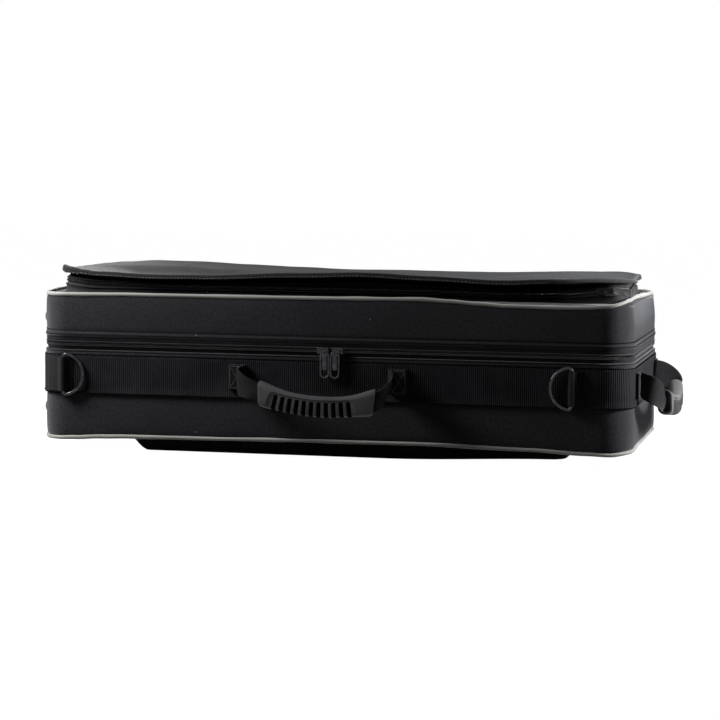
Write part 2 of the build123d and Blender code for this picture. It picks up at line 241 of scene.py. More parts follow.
def outlineWire(name, shape, step, arcSteps):
    piece = primitive(bpy.ops.mesh.primitive_plane_add, name, size=1, location=(shape["centreX"], 0, 0))
    piece.scale = (2 * shape["halfX"], 2 * shape["halfY"], 1)
    applyPlace(piece)
    editAll(piece, "VERT")
    bpy.ops.mesh.bevel(offset=shape["radius"], segments=arcSteps, affect="VERTICES")
    bpy.ops.mesh.select_mode(type="FACE")
    bpy.ops.mesh.select_all(action="SELECT")
    bpy.ops.mesh.delete(type="ONLY_FACE")
    for half in (shape["halfX"], shape["halfY"]):
        straight = 2 * (half - shape["radius"])
        choose(piece, "EDGE", lambda edge: abs(edgeLine(piece, edge).length - straight) < 1e-5)
        bpy.ops.mesh.subdivide(number_cuts=max(1, round(straight / step) - 1))
    objectMode()
    return piece


def openBack(piece, shape, step, gap, keepGap=False):
    # takes the outline's points out of a gap in its back, or all the other points
    back = shape["halfY"] - mm
    for vertex in piece.data.vertices:
        if vertex.co.y > back and abs(abs(vertex.co.x) - gap) < step / 2:
            vertex.co.x = math.copysign(gap, vertex.co.x)
    if keepGap:
        choose(piece, "VERT", lambda v: v.co.y <= back or abs(v.co.x) >= gap + mm / 10)
    else:
        choose(piece, "VERT", lambda v: v.co.y > back and abs(v.co.x) <= gap - mm / 10)
    bpy.ops.mesh.delete(type="VERT")
    objectMode()


rowGap = 0.01  # rows are first extruded this far apart, and then put in place


def wallUv(piece, shape, along):
    # u runs round the outline and v up the profile, both in metres
    while piece.data.uv_layers:
        piece.data.uv_layers.remove(piece.data.uv_layers[0])
    layer = piece.data.uv_layers.new(name="cloth")
    for face in piece.data.polygons:
        middle = sum((piece.data.vertices[i].co for i in face.vertices), Vector()) / len(face.vertices)
        side = 1 if middle.x >= shape["centreX"] else -1
        for loop in face.loop_indices:
            index = piece.data.loops[loop].vertex_index
            point = piece.data.vertices[index].co
            distance = outlineAt(shape, point.x, point.y, side)[1]
            layer.data[loop].uv = (distance, along[index])


def wall(name, shape, profile, form, step, arcSteps=10, leaveBack=0, onlyBack=0):
    # a band round an outline; profile is a list of (out, height) in mm, from the bottom up,
    # and form moves each of its points
    piece = outlineWire(name, shape, step, arcSteps)
    if leaveBack or onlyBack:
        openBack(piece, shape, step, leaveBack or onlyBack, onlyBack > 0)
    editAll(piece, "EDGE")
    for row in range(len(profile) - 1):
        bpy.ops.mesh.extrude_region_move(TRANSFORM_OT_translate={"value": (0, 0, rowGap)})
    objectMode()
    lengths = [0]
    for (out0, z0), (out1, z1) in zip(profile, profile[1:]):
        lengths.append(lengths[-1] + math.hypot(out1 - out0, z1 - z0) * mm)
    rows = [round(v.co.z / rowGap) for v in piece.data.vertices]
    wallUv(piece, shape, [lengths[row] for row in rows])
    for vertex, row in zip(piece.data.vertices, rows):
        direction, distance = outlineAt(shape, vertex.co.x, vertex.co.y)
        out, height = form(distance, vertex.co.x / mm, vertex.co.y / mm, *profile[row])
        place = vertex.co + direction * out * mm
        vertex.co = (place.x, place.y, height * mm)
    face = piece.data.polygons[0]
    if outlineAt(shape, face.center.x, face.center.y)[0].dot(face.normal) < 0:
        flip(piece)
    return piece


def panelGrid(name, shape, cells):
    # a grid whose corners are drawn in to the rounded outline
    piece = grid(name, cells, 2)
    radius = shape["radius"]
    for vertex in piece.data.vertices:
        x, y = vertex.co.x * shape["halfX"], vertex.co.y * shape["halfY"]
        a = abs(x) - (shape["halfX"] - radius)
        b = abs(y) - (shape["halfY"] - radius)
        if a > 0 and b > 0:
            share = max(a, b) / math.hypot(a, b)
            x = math.copysign(shape["halfX"] - radius + a * share, x)
            y = math.copysign(shape["halfY"] - radius + b * share, y)
        vertex.co = (x + shape["centreX"], y, 0)
    piece.data.uv_layers.active.name = "cloth"
    putUv(piece, [(vertex.co.x, vertex.co.y) for vertex in piece.data.vertices])
    return piece


def pillow(name, shape, cells, top, low):
    # a closed panel; top and low give the height of its two faces at x and y, all in mm
    piece = panelGrid(name, shape, cells)
    editAll(piece)
    bpy.ops.mesh.extrude_region_move(TRANSFORM_OT_translate={"value": (0, 0, -rowGap)})
    objectMode()
    for vertex in piece.data.vertices:
        height = top if vertex.co.z > -rowGap / 2 else low
        vertex.co.z = height(vertex.co.x / mm, vertex.co.y / mm) * mm
    return piece


def finishPiece(piece, body, material, angle=40):
    piece.data.materials.clear()
    piece.data.materials.append(material)
    pick(piece)
    bpy.ops.object.shade_smooth_by_angle(angle=math.radians(angle))
    if body:
        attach(piece, body)


# materials

def addNode(tree, kind, values=None, **settings):
    # values go into sockets, by name or number, and may be another node's output
    node = tree.nodes.new("ShaderNode" + kind)
    for key, value in settings.items():
        setattr(node, key, value)
    for socket, value in (values or {}).items():
        if isinstance(value, bpy.types.NodeSocket):
            tree.links.new(value, node.inputs[socket])
        else:
            node.inputs[socket].default_value = value
    return node


def scaled(color, share):
    return [c * share for c in color]


class Shader:
    # one material and short ways to add and link its nodes
    def __init__(self, name, color, roughness, **sockets):
        self.material = bpy.data.materials.new(name)
        self.material.use_nodes = True
        self.tree = self.material.node_tree
        self.main = self.tree.nodes["Principled BSDF"]
        self.main.inputs["Base Color"].default_value = (*color, 1)
        self.main.inputs["Roughness"].default_value = roughness
        for socket, value in sockets.items():
            self.main.inputs[socket.replace("_", " ")].default_value = value

    def add(self, kind, values=None, **settings):
        return addNode(self.tree, kind, values, **settings)

    def math(self, operation, a, b, clamp=False):
        return self.add("Math", {0: a, 1: b}, operation=operation, use_clamp=clamp).outputs[0]

    def coordinates(self, kind, scale=(1, 1, 1), turn=0.0):
        source = self.add("TexCoord").outputs[kind]
        values = {"Vector": source, "Scale": scale, "Rotation": (0, 0, turn)}
        return self.add("Mapping", values).outputs[0]

    def noise(self, vector, scale, detail, roughness=0.55):
        values = {"Vector": vector, "Scale": scale, "Detail": detail, "Roughness": roughness}
        return self.add("TexNoise", values).outputs["Fac"]

    def bands(self, vector, pitch, axis, distortion):
        # one light and one dark band in each pitch, in metres
        values = {"Vector": vector, "Scale": math.pi / (10 * pitch), "Distortion": distortion, "Detail": 1.0}
        return self.add("TexWave", values, bands_direction=axis).outputs["Fac"]

    def span(self, value, low, high, toLow, toHigh):
        values = {0: value, 1: low, 2: high, 3: toLow, 4: toHigh}
        return self.add("MapRange", values).outputs[0]

    def blend(self, share, first, second):
        first, second = (c if isinstance(c, bpy.types.NodeSocket) else (*c, 1) for c in (first, second))
        return self.add("Mix", {0: share, 6: first, 7: second}, data_type="RGBA").outputs[2]

    def grade(self, value, limits, first, second):
        # limits are those of span: where the value starts and ends, and the share of the second colour there
        return self.blend(self.span(value, *limits), first, second)

    def link(self, output, socket="Base Color"):
        self.tree.links.new(output, self.main.inputs[socket])

    def bump(self, height, strength, distance, before=None):
        values = {"Height": height, "Strength": strength, "Distance": distance}
        if before:
            values["Normal"] = before
        return self.add("Bump", values).outputs[0]


def wovenCloth(name, color, pitch=0.75 * mm, sheen=0.5, roughness=0.85, lint=1.0, strength=0.5, specular=0.02,
               paintedLight=None):
    # plain weave, uneven dye, faint rubbed patches and a few specks of lint
    cloth = Shader(name, color, roughness, Specular_IOR_Level=specular, Sheen_Weight=sheen, Sheen_Roughness=0.42)
    cloth.main.inputs["Sheen Tint"].default_value = (0.75, 0.78, 0.82, 1)
    place = cloth.coordinates("UV")
    weave = cloth.math("MULTIPLY", cloth.bands(place, pitch, "X", 0.4), cloth.bands(place, pitch, "Y", 0.4))
    patches = cloth.noise(place, 9.0, 4.0)
    grain = cloth.noise(place, 900.0, 2.0)
    slubs = cloth.noise(place, 330.0, 2.0, 0.7)
    shade = cloth.grade(patches, (0.3, 0.7, 0.0, 1.0), scaled(color, 0.72), scaled(color, 1.35))
    shade = cloth.grade(grain, (0.35, 0.75, 0.0, 0.55), shade, scaled(color, 1.9))
    shade = cloth.grade(slubs, (0.36, 0.64, 0.0, 0.6), shade, scaled(color, 0.5))
    shade = cloth.grade(weave, (0.0, 0.6, 0.35, 0.0), shade, scaled(color, 0.4))
    dots = cloth.add("TexVoronoi", {"Vector": place, "Scale": 42.0, "Randomness": 1.0}, feature="F1").outputs
    speck = cloth.span(dots["Distance"], 0.022, 0.034, 1.0, 0.0)
    few = cloth.span(cloth.add("SeparateColor", {0: dots["Color"]}).outputs[0], 0.9, 0.91, 0.0, lint)
    shade = cloth.blend(cloth.math("MULTIPLY", speck, few), shade, (0.22, 0.22, 0.23))
    if paintedLight:
        # painted light: areas coloured lighter where light falls on them, given as a share by the caller
        shade = cloth.blend(paintedLight["share"](cloth), shade, paintedLight["color"])
    cloth.link(shade)
    cloth.link(cloth.span(patches, 0.3, 0.7, roughness - 0.07, roughness + 0.06), "Roughness")
    soft = cloth.bump(patches, 0.25, 0.0016)
    fine = cloth.bump(weave, strength, 0.00022, soft)
    cloth.link(cloth.bump(grain, 0.35, 0.00012, fine), "Normal")
    return cloth.material


def ribbedWebbing(name, color, pitch, sheen, axis="X", low=0.3, high=1.8):
    # heavy webbing: cords across its width, each with a fine weave
    web = Shader(name, color, 0.7, Specular_IOR_Level=0.0, Sheen_Weight=sheen, Sheen_Roughness=0.4)
    place = web.coordinates("UV")
    cords = web.bands(place, pitch, axis, 0.25)
    fine = web.bands(place, 0.8 * mm, "Y" if axis == "X" else "X", 0.3)
    worn = web.noise(place, 22.0, 4.0)
    shade = web.blend(cords, scaled(color, low), scaled(color, high))
    web.link(web.grade(worn, (0.4, 0.75, 0.0, 0.4), shade, scaled(color, 2.4)))
    web.link(web.span(worn, 0.3, 0.7, 0.62, 0.8), "Roughness")
    first = web.bump(cords, 0.8, 0.0004)
    web.link(web.bump(web.math("MULTIPLY", fine, cords), 0.5, 0.0002, first), "Normal")
    return web.material


def pipingCord():
    # smooth warm grey piping with a fine twist and slightly dirty patches
    cord = Shader("piping_cord", (0.28, 0.276, 0.262), 0.55, Specular_IOR_Level=0.12, Sheen_Weight=0.15)
    dirt = cord.noise(cord.coordinates("UV"), 14.0, 5.0)
    twist = cord.bands(cord.coordinates("UV", turn=0.6), 1.1 * mm, "X", 0.6)
    clean = cord.grade(dirt, (0.35, 0.75, 0.0, 1.0), (0.315, 0.31, 0.293), (0.225, 0.221, 0.209))
    cord.link(cord.grade(twist, (0.0, 1.0, 0.18, 0.0), clean, (0.22, 0.215, 0.2)))
    cord.link(cord.span(dirt, 0.3, 0.7, 0.46, 0.62), "Roughness")
    cord.link(cord.bump(twist, 0.25, 0.00015), "Normal")
    return cord.material


def mouldedPlastic(name, color, roughness, specular=0.4):
    # moulded surface: fine grain, dust in the low places, a few rubbed spots
    plastic = Shader(name, color, roughness, Specular_IOR_Level=specular)
    place = plastic.coordinates("Object")
    grain = plastic.noise(place, 1200.0, 2.0)
    rubbed = plastic.noise(place, 45.0, 4.0)
    tone = plastic.grade(rubbed, (0.45, 0.8, 0.0, 0.7), color, scaled(color, 1.5))
    plastic.link(plastic.grade(grain, (0.3, 0.7, 0.25, 0.0), tone, scaled(color, 0.55)))
    plastic.link(plastic.span(rubbed, 0.3, 0.75, roughness + 0.08, roughness - 0.1), "Roughness")
    plastic.link(plastic.bump(grain, 0.3, 0.00015), "Normal")
    return plastic.material


def platedMetal(name, color, roughness):
    # dark plating, brushed a little and worn brighter in spots
    metal = Shader(name, color, roughness, Metallic=1.0)
    worn = metal.noise(metal.coordinates("Object"), 160.0, 5.0)
    scratches = metal.noise(metal.coordinates("Object", (60, 900, 900)), 1.0, 3.0)
    metal.link(metal.grade(worn, (0.5, 0.72, 0.0, 0.8), color, scaled(color, 2.2)))
    metal.link(metal.span(scratches, 0.3, 0.7, roughness - 0.08, roughness + 0.14), "Roughness")
    metal.link(metal.bump(scratches, 0.12, 0.0001), "Normal")
    return metal.material


def shortPlush(name, color):
    # short pile: soft light on its edges and brushed patches
    plush = Shader(name, color, 0.95, Specular_IOR_Level=0.03, Sheen_Weight=0.5, Sheen_Roughness=0.4)
    plush.main.inputs["Sheen Tint"].default_value = (0.6, 0.62, 0.7, 1)
    place = plush.coordinates("Object")
    brushed = plush.noise(place, 18.0, 4.0)
    pile = plush.noise(place, 1500.0, 2.0)
    tone = plush.grade(brushed, (0.35, 0.7, 0.0, 1.0), scaled(color, 0.85), scaled(color, 1.2))
    plush.link(plush.grade(pile, (0.3, 0.7, 0.4, 0.0), tone, scaled(color, 0.4)))
    soft = plush.bump(brushed, 0.3, 0.002)
    plush.link(plush.bump(pile, 0.6, 0.0004, soft), "Normal")
    return plush.material


def beadFoam():
    # rigid moulded foam: pressed beads
    foam = Shader("shell_foam", (0.11, 0.11, 0.115), 0.8, Specular_IOR_Level=0.2)
    place = foam.coordinates("Object")
    beads = foam.add("TexVoronoi", {"Vector": place, "Scale": 260.0}, feature="DISTANCE_TO_EDGE").outputs["Distance"]
    tone = foam.noise(place, 25.0, 3.0)
    body = foam.grade(tone, (0.3, 0.7, 0.0, 1.0), (0.09, 0.09, 0.095), (0.14, 0.14, 0.145))
    foam.link(foam.grade(beads, (0.0, 0.09, 0.55, 0.0), body, (0.03, 0.03, 0.032)))
    foam.link(foam.bump(beads, 0.4, 0.0006), "Normal")
    return foam.material


def stitchThread(name, color, sheen=0.4):
    # twisted thread with a little fuzz
    thread = Shader(name, color, 0.6, Specular_IOR_Level=0.3 * sheen, Sheen_Weight=sheen)
    place = thread.coordinates("Object")
    twist = thread.bands(place, 0.5 * mm, "DIAGONAL", 0.5)
    thread.link(thread.grade(thread.noise(place, 500.0, 3.0), (0.3, 0.7, 0.0, 0.8), color, scaled(color, 0.4)))
    thread.link(thread.bump(twist, 0.5, 0.0002), "Normal")
    return thread.material


def paintedHighlightStreak(cloth):
    # painted highlight: a lighter wedge on the flap's front left corner, behind the rim, standing in for the back light
    # that the smooth cloth reflects there
    x, y, z = cloth.add("SeparateXYZ", {0: cloth.add("TexCoord").outputs["Object"]}).outputs
    far = cloth.span(x, -0.292, -0.19, -0.062, -0.114)
    inside = cloth.span(cloth.math("SUBTRACT", far, y), -0.003, 0.012, 0.0, 1.0)
    fade = cloth.math("MULTIPLY", cloth.span(x, -0.294, -0.276, 0.0, 1.0), cloth.span(x, -0.23, -0.185, 1.0, 0.0))
    return cloth.math("MULTIPLY", inside, fade)


def paintedLitEnds(cloth):
    # painted light: the pocket's walls are coloured lighter towards their ends, where light reaches them
    x = cloth.add("SeparateXYZ", {0: cloth.add("TexCoord").outputs["Object"]}).outputs[0]
    left = cloth.span(x, -0.19, -0.31, 0.0, 0.6)
    return cloth.math("ADD", left, cloth.span(x, 0.235, 0.3, 0.0, 0.9), clamp=True)


caseCloth = wovenCloth("shell_cloth", (0.028, 0.0268, 0.0303))
# the flap's cloth carries a painted highlight: a lighter colour in a wedge at its front left corner
flapCloth = wovenCloth("flap_cloth", (0.0094, 0.0094, 0.01), pitch=0.6 * mm, sheen=0.03, roughness=0.5, lint=0.3,
                       strength=0.15, specular=0.006,
                       paintedLight={"share": paintedHighlightStreak, "color": (0.055, 0.056, 0.058)})
# painted shade: the gusset's near-black colour stands in for the shadow under the flap, and its ends are coloured
# lighter as painted light
gussetCloth = wovenCloth("gusset_cloth", (0.006, 0.0057, 0.0065), sheen=0.02, lint=0.4, specular=0.0,
                         paintedLight={"share": paintedLitEnds, "color": (0.06, 0.058, 0.06)})
bindingCloth = wovenCloth("binding_cloth", (0.023, 0.023, 0.024), pitch=0.9 * mm, sheen=0.15, roughness=0.7,
                          lint=0.2)
webbing = ribbedWebbing("webbing", (0.0175, 0.0166, 0.0189), pitch=2.15 * mm, sheen=0.1, low=0.12)
strapWeb = ribbedWebbing("strap_web", (0.017, 0.0162, 0.018), pitch=0.9 * mm, sheen=0.12, low=0.7, high=1.3)
tapeCloth = ribbedWebbing("zip_tape", (0.017, 0.0162, 0.0187), pitch=0.7 * mm, axis="Y", sheen=0.15)
coilPlastic = mouldedPlastic("zip_coil", (0.035, 0.034, 0.037), 0.42)
cordCloth = pipingCord()
gripVinyl = mouldedPlastic("grip_vinyl", (0.062, 0.062, 0.065), 0.42, specular=0.12)
darkMetal = platedMetal("dark_metal", (0.028, 0.028, 0.03), 0.22)
linkMetal = platedMetal("link_metal", (0.075, 0.075, 0.078), 0.3)
footPlastic = mouldedPlastic("foot_plastic", (0.04, 0.04, 0.042), 0.45)
plush = shortPlush("lining_plush", (0.03, 0.03, 0.034))
foamShell = beadFoam()
# the stitch thread is near black, darker than the cloth: partly the thread's own colour and partly painted shade of the
# stitch holes
stitches = stitchThread("stitch_thread", (0.0035, 0.0033, 0.0038), 0.0)
boxThread = stitchThread("box_stitch_thread", (0.05, 0.049, 0.052))
# painted shade: a near-black colour for the faces inside the grip's slots
slotShade = mouldedPlastic("slot_rubber", (0.004, 0.004, 0.0042), 0.8, specular=0.02)
blackMetal = platedMetal("black_metal", (0.008, 0.008, 0.0085), 0.34)
print("materials made")


# the case's outline, and how its soft edges stray from straight lines

caseSizes = {"halfX": 320, "halfY": 130, "corner": 32}
caseShape = rounded(*(size * mm for size in caseSizes.values()))
# (x, how far the edge rises there), in mm
lidEdge = [(-320, -2), (-279, -1.7), (-220, -0.8), (-100, -0.6), (-20, -0.3), (40, 0.4), (100, 1), (130, -0.4),
           (160, -2.2), (190, -4), (250, -4.4), (275, -3.9), (290, -2.9), (300, -2), (312, -2), (320, -1.2)]
baseEdge = [(-320, -5.4), (-300, -5), (-279, -4.2), (-250, -2.5), (-220, -1.6), (-140, -0.9), (-60, 0.2), (0, 0.6),
            (100, 1.2), (215, -1), (275, -3.5), (300, -4.1), (320, -2.4)]


def frontShare(y):
    # 1 along the front, fading to 0 over the ends
    return 1 - ease(y, -125, -60)


endSizes = {"rise": 4.6, "wallLean": 2.0, "rimLean": 1.6}  # of the lid's right end, in mm


def lidDrop(x, y):
    rise = endSizes["rise"] * ease(x, 296, 321) * (1 - ease(y, -100, 110))
    return between(lidEdge, x) * frontShare(y) + rise


def baseDrop(x, y):
    return between(baseEdge, x) * frontShare(y)


def lidLean(x, share):
    # the right end's wall leans in, and its rim more
    lean = endSizes["wallLean"] * share * share + endSizes["rimLean"] * ease(share, 0.985, 1)
    return -lean * ease(x, 300, 322)


def baseLean(x, share):
    # the base's right end bulges by 1 mm
    return share * ease(x, 300, 322)


def creases(distance, x, y):
    # upright folds where the cloth is pulled round the corners and over the right end
    end = ease(abs(x), 290, 322)
    return end * (0.5 * ripple(distance, y * 0.002, 3, 0.019) + 0.16 * ripple(distance, 0, 9, 0.008))


sideCloth = {
    "lid": [(0.2, 123.2), (0.9, 123.3), (1.1, 123.9), (1.1, 127.2), (0.9, 127.9), (0.4, 128.5), (0.45, 129.6),
            (0.15, 130.3), (0.3, 131), (0, 136), (0, 141), (0, 146), (0, 151), (0, 156), (0, 160), (0, 163.5),
            (-0.1, 166.5), (-0.5, 168.4), (-1.4, 169.4)],
    "base": [(-1.4, 19.8), (-0.5, 20.8), (-0.1, 23), (0, 27), (0, 32), (0, 38), (0, 44), (0, 50), (0, 56), (0, 62),
             (0, 72), (0, 82), (0, 92), (0, 101), (0.1, 103.6), (0.6, 103.9), (1.0, 104.3), (1.1, 105),
             (1.1, 106.5), (0.7, 107.1), (1.0, 107.6), (0.95, 108.7), (0.7, 109.1), (-0.9, 109.3)],
    "thickness": 1.2,
    "bulge": 1.4,
}


def swell(height, low, reach):
    # 0 at the edges of a padded side and 1 between them
    return math.sin(math.pi * min(1, max(0, (height - low) / reach)))


def lidForm(distance, x, y, out, height):
    share = ease(height, 126, 170)
    wave = 0.5 * ripple(distance, height * mm, 1, 0.06) + creases(distance, x, y)
    free = ease(height, 127, 133) * (1 - ease(height, 163, 169))  # the hems stay in place
    out += (sideCloth["bulge"] * swell(height, 128, 42) * 0.6 + wave) * free + lidLean(x, share)
    return out, height + lidDrop(x, y) * share


def baseForm(distance, x, y, out, height):
    share = 1 - ease(height, 20, 62)
    wave = 0.5 * ripple(distance, height * mm, 5, 0.07) + creases(distance, x, y) * 0.6
    puff = sideCloth["bulge"] * swell(height, 20, 44) * 0.5 + wave * 0.8
    out += puff * (1 - ease(height, 52, 62)) * ease(height, 20, 26) + baseLean(x, share)
    return out, height + baseDrop(x, y) * share


for body, form, width in (("lid", lidForm, 0.052), ("base", baseForm, 0.096)):
    cover = wall(body + "_side_cloth", caseShape, sideCloth[body], form, step=6 * mm, arcSteps=14)
    thicken(cover, sideCloth["thickness"])
    finishPiece(cover, body, caseCloth)
    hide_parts(body + "_side_cover")
print("side cloths made")


# top and bottom cloths

def edgeDistance(x, y, halfX, halfY, centreX=0):
    # how far a place is from the nearest side
    return min(halfX - abs(x - centreX), halfY - abs(y))


panelSizes = {
    "shape": rounded(318.6 * mm, 128.6 * mm, 30.6 * mm), "cells": (96, 40), "thickness": 1.1,
    "top": {"body": "lid", "height": 169.9, "border": 14, "wave": 0.35, "waveSize": 40, "seed": 0},
    "bottom": {"body": "base", "height": 19.1, "border": 60, "wave": 0.3, "waveSize": 50, "seed": 7},
}
for side, drop, lean in (("top", lidDrop, lidLean), ("bottom", baseDrop, baseLean)):
    row = panelSizes[side]
    body = row["body"]
    cloth = panelGrid(body + "_" + side + "_cloth", panelSizes["shape"], panelSizes["cells"])
    for vertex in cloth.data.vertices:
        x, y = vertex.co.x / mm, vertex.co.y / mm
        edge = edgeDistance(x, y, caseSizes["halfX"], caseSizes["halfY"])
        wave = row["wave"] * ripple(x, y, row["seed"], row["waveSize"])
        vertex.co.z = (row["height"] + drop(x, y) * (1 - ease(edge, 0, row["border"])) + wave) * mm
        vertex.co.x += lean(x, 1) * mm
    if side == "bottom":
        flip(cloth)
    thicken(cloth, panelSizes["thickness"])
    finishPiece(cloth, body, caseCloth)
    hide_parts(body + "_" + side + "_cover")


# piping: a bead round each edge

pipingSizes = {"radius": 2.15, "inset": 1.0, "sides": 10, "unevenness": 0.22, "lid": 170.5, "base": 18.5}


def pipe(body, drop, lean):
    sides, radius, inset, height = (pipingSizes[key] for key in ("sides", "radius", "inset", body))
    angles = [2 * math.pi * i / sides for i in range(sides + 1)]
    profile = [(radius * math.cos(a) - inset, height + radius * math.sin(a)) for a in angles]

    def form(distance, x, y, out, level):
        uneven = 1 + pipingSizes["unevenness"] * ripple(distance, 0, height, 0.035)
        stray = 0.35 * ripple(distance, 2, height, 0.09)
        out = (out + inset) * uneven - inset + stray + lean(x, 1)
        return out, height + (level - height) * uneven + drop(x, y)

    piece = wall(body + "_piping_cord", caseShape, profile, form, step=5 * mm, arcSteps=14)
    outward(piece)
    finishPiece(piece, body, cordCloth, 60)
    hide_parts(body + "_piping")


pipe("lid", lidDrop, lidLean)
pipe("base", baseDrop, baseLean)
print("piping made")


# zip tapes with their teeth, and the belt

zipSizes = {
    "backGap": 260 * mm, "pitch": 2.1 * mm, "tooth": (2.0 * mm, 1.25 * mm), "inset": 0.3 * mm,
    "levels": {"lid": 115.5 * mm, "base": 113.9 * mm},
    "lid": [(-1.2, 116.9), (-0.2, 117.0), (0.8, 117.2), (1.1, 117.7), (0.8, 118.3), (0, 118.9), (0.35, 120),
            (0.45, 121.8), (0.1, 122.7), (-0.5, 123.6)],
    "base": [(-1.4, 104.4), (-1.4, 109.4), (-1.2, 110.8), (-0.8, 111.4), (-0.5, 112.0), (-0.5, 112.6),
             (-0.9, 112.9), (-1.4, 113.0)],
}
pocketZip = {"pitch": 1.8 * mm, "tooth": (1.8 * mm, 0.7 * mm), "inset": 0.6 * mm}


def tapeForm(distance, x, y, out, height):
    return out + 0.12 * ripple(distance, height * mm, 2, 0.05), height


for body in ("lid", "base"):
    tape = wall(body + "_zip_band", caseShape, zipSizes[body], tapeForm, step=8 * mm, arcSteps=12,
                leaveBack=zipSizes["backGap"])
    thicken(tape, 0.5)
    finishPiece(tape, body, tapeCloth)
    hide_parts(body + "_zip_tape")


def pathCurve(name, shape, inset, height, gap=0):
    # the outline as a curve for modifiers to follow, open at the back where there is a gap
    step = 8 * mm
    shape = rounded(shape["halfX"] - inset, shape["halfY"] - inset, shape["radius"] - inset, shape["centreX"])
    path = outlineWire(name, shape, step, arcSteps=16)
    if gap:
        openBack(path, shape, step, gap)
    for vertex in path.data.vertices:
        vertex.co.z = height
    pick(path)
    bpy.ops.object.convert(target="CURVE")
    return bpy.context.object


def rod(name, sides, thick, long, axis, turn, drawnIn):
    # a short rod along one axis, with drawn-in ends
    piece = primitive(bpy.ops.mesh.primitive_cylinder_add, name, vertices=sides, radius=thick / 2, depth=long,
                      rotation=turn)
    applyPlace(piece)
    choose(piece, "FACE", lambda face: abs(face.normal[axis]) > 0.9)
    bpy.ops.mesh.bevel(offset=thick * drawnIn, segments=1)
    objectMode()
    return piece


def repeatAlong(piece, pitch, curve):
    # as many copies as the curve has room for, bent along it
    length = sum(spline.calc_length() for spline in curve.data.splines)
    repeat(piece, pitch, int(length / pitch))
    modify(piece, "CURVE", object=curve, deform_axis="POS_X")
    bpy.data.objects.remove(curve)


def teethAlong(name, shape, sizes, height, gap=0):
    # one tooth, repeated along the edge of the tape
    long, thick = sizes["tooth"]
    curve = pathCurve(name + "_path", shape, sizes["inset"], height, gap)
    tooth = rod(name, 6, thick, long, 1, (math.pi / 2, 0, 0), 0.22)
    for vertex in tooth.data.vertices:
        vertex.co.x *= 0.85
        vertex.co.x += sizes["pitch"] / 2 + vertex.co.z * 0.5
    repeatAlong(tooth, sizes["pitch"], curve)
    return tooth


for body in ("lid", "base"):
    teeth = teethAlong(body + "_zip_teeth", caseShape, zipSizes, zipSizes["levels"][body], zipSizes["backGap"])
    finishPiece(teeth, body, coilPlastic, 50)
    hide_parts(body + "_zip_coil")

hingeProfile = [(0, 108.6), (0.1, 110), (0, 112), (-0.1, 114), (-0.2, 116), (-0.1, 118), (0, 120), (0.1, 122),
                (0, 123.5)]
hingeCloth = wall("back_hinge_cloth", caseShape, hingeProfile, tapeForm, step=8 * mm, onlyBack=zipSizes["backGap"])
thicken(hingeCloth, 1.2)
finishPiece(hingeCloth, None, caseCloth)
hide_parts("base_hinge_cloth", "lid_hinge_cloth")
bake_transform(hingeCloth)

beltProfile = [(0.3, 63.2), (1.6, 63.0), (2.4, 63.5), (2.4, 64.4), (1.8, 65.6), (1.75, 72), (1.8, 80), (1.75, 88),
               (1.85, 96), (1.85, 101), (1.8, 102.4), (1.5, 103), (0.3, 102.8)]


def beltForm(distance, x, y, out, height):
    edge = 0.25 * ripple(distance, 0, 4, 0.05)
    return out + 0.18 * ripple(distance, height * mm, 6, 0.04), height + edge


belt = wall("belt_band", caseShape, beltProfile, beltForm, step=5 * mm, arcSteps=14)
thicken(belt, 0.6)
finishPiece(belt, "base", webbing)
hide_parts("belt_webbing")
print("zip and belt made")


# the pocket's flap: a padded panel whose front edge waves and curls

flapSizes = {
    "frontLow": [(-301, 194), (-292, 191.2), (-256, 188.2), (-200, 186.2), (-144, 186.7), (-34, 190.6), (31, 192.8),
                 (106, 190.2), (180, 187.5), (243, 190), (285, 192), (317, 191.6)],
    "middle": [(-301, 195), (-278, 197), (-242, 199), (-194, 198.4), (-135, 196.2), (-77, 194.4), (-19, 192.8),
               (61, 193), (151, 192.8), (263, 195.6), (317, 195)],
    "back": [(-301, 189), (-278, 192.4), (-242, 194.4), (-194, 194), (-135, 192), (-77, 190), (-19, 188.8),
             (61, 189.4), (151, 188.8), (240, 191.4), (290, 192.4), (317, 191.4)],
    "rimHeight": 5.0,
    "skew": 13,
    "tip": 4.5,
    "cells": (150, 58),
}
flapShape = rounded(309 * mm, 117 * mm, 29 * mm, 8 * mm)


def flapSkew(x, y):
    # the right side of the pocket is drawn in towards the back
    return -flapSizes["skew"] * ease(y, -117, 117) * ease(x, -40, 317)


def flapTip(x, y):
    # the left front corner sticks out and curls up
    return ease(-x, 268, 296) * ease(-y, 78, 108)


def flapTop(x, y):
    front = between(flapSizes["frontLow"], x) + flapSizes["rimHeight"]
    middle = between(flapSizes["middle"], x)
    back = between(flapSizes["back"], x)
    height = front + (middle - front) * ease(y, -116, -62)
    height += (back - middle) * ease(y, 40, 116)
    height += 0.4 * ripple(x, y, 0, 70) + 0.12 * ripple(x, y, 3, 16)
    height -= 1.2 * ease(x, 296, 318) ** 2
    return height + 1.6 * flapTip(x, y)


def flapLow(x, y):
    front = between(flapSizes["frontLow"], x)
    back = between(flapSizes["back"], x) - flapSizes["rimHeight"]
    low = front + (back - front) * ease(y, -100, 100)
    hinged = ease(y, 60, 100)  # kept high at the back, where it folds down behind the pocket
    low += (max(low, 186.2) - low) * hinged
    return min(low, flapTop(x, y) - 3 + 0.7 * hinged)


def skewed(piece, tip):
    for vertex in piece.data.vertices:
        x, y = vertex.co.x / mm, vertex.co.y / mm
        vertex.co.x += (flapSkew(x, y) - tip * flapTip(x, y)) * mm


flapPad = pillow("pocket_flap_pad", flapShape, flapSizes["cells"], flapTop, flapLow)
skewed(flapPad, flapSizes["tip"])
outward(flapPad)
soften(flapPad, 1.8, 3, 50)
finishPiece(flapPad, "flap", flapCloth, 50)
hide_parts("pocket_flap")

rimProfile = [(-1.5, 0), (0.2, 0.1), (0.9, 0.8), (1.1, 2.4), (0.8, 4.2), (-0.1, 5.1), (-1.6, 5.3)]


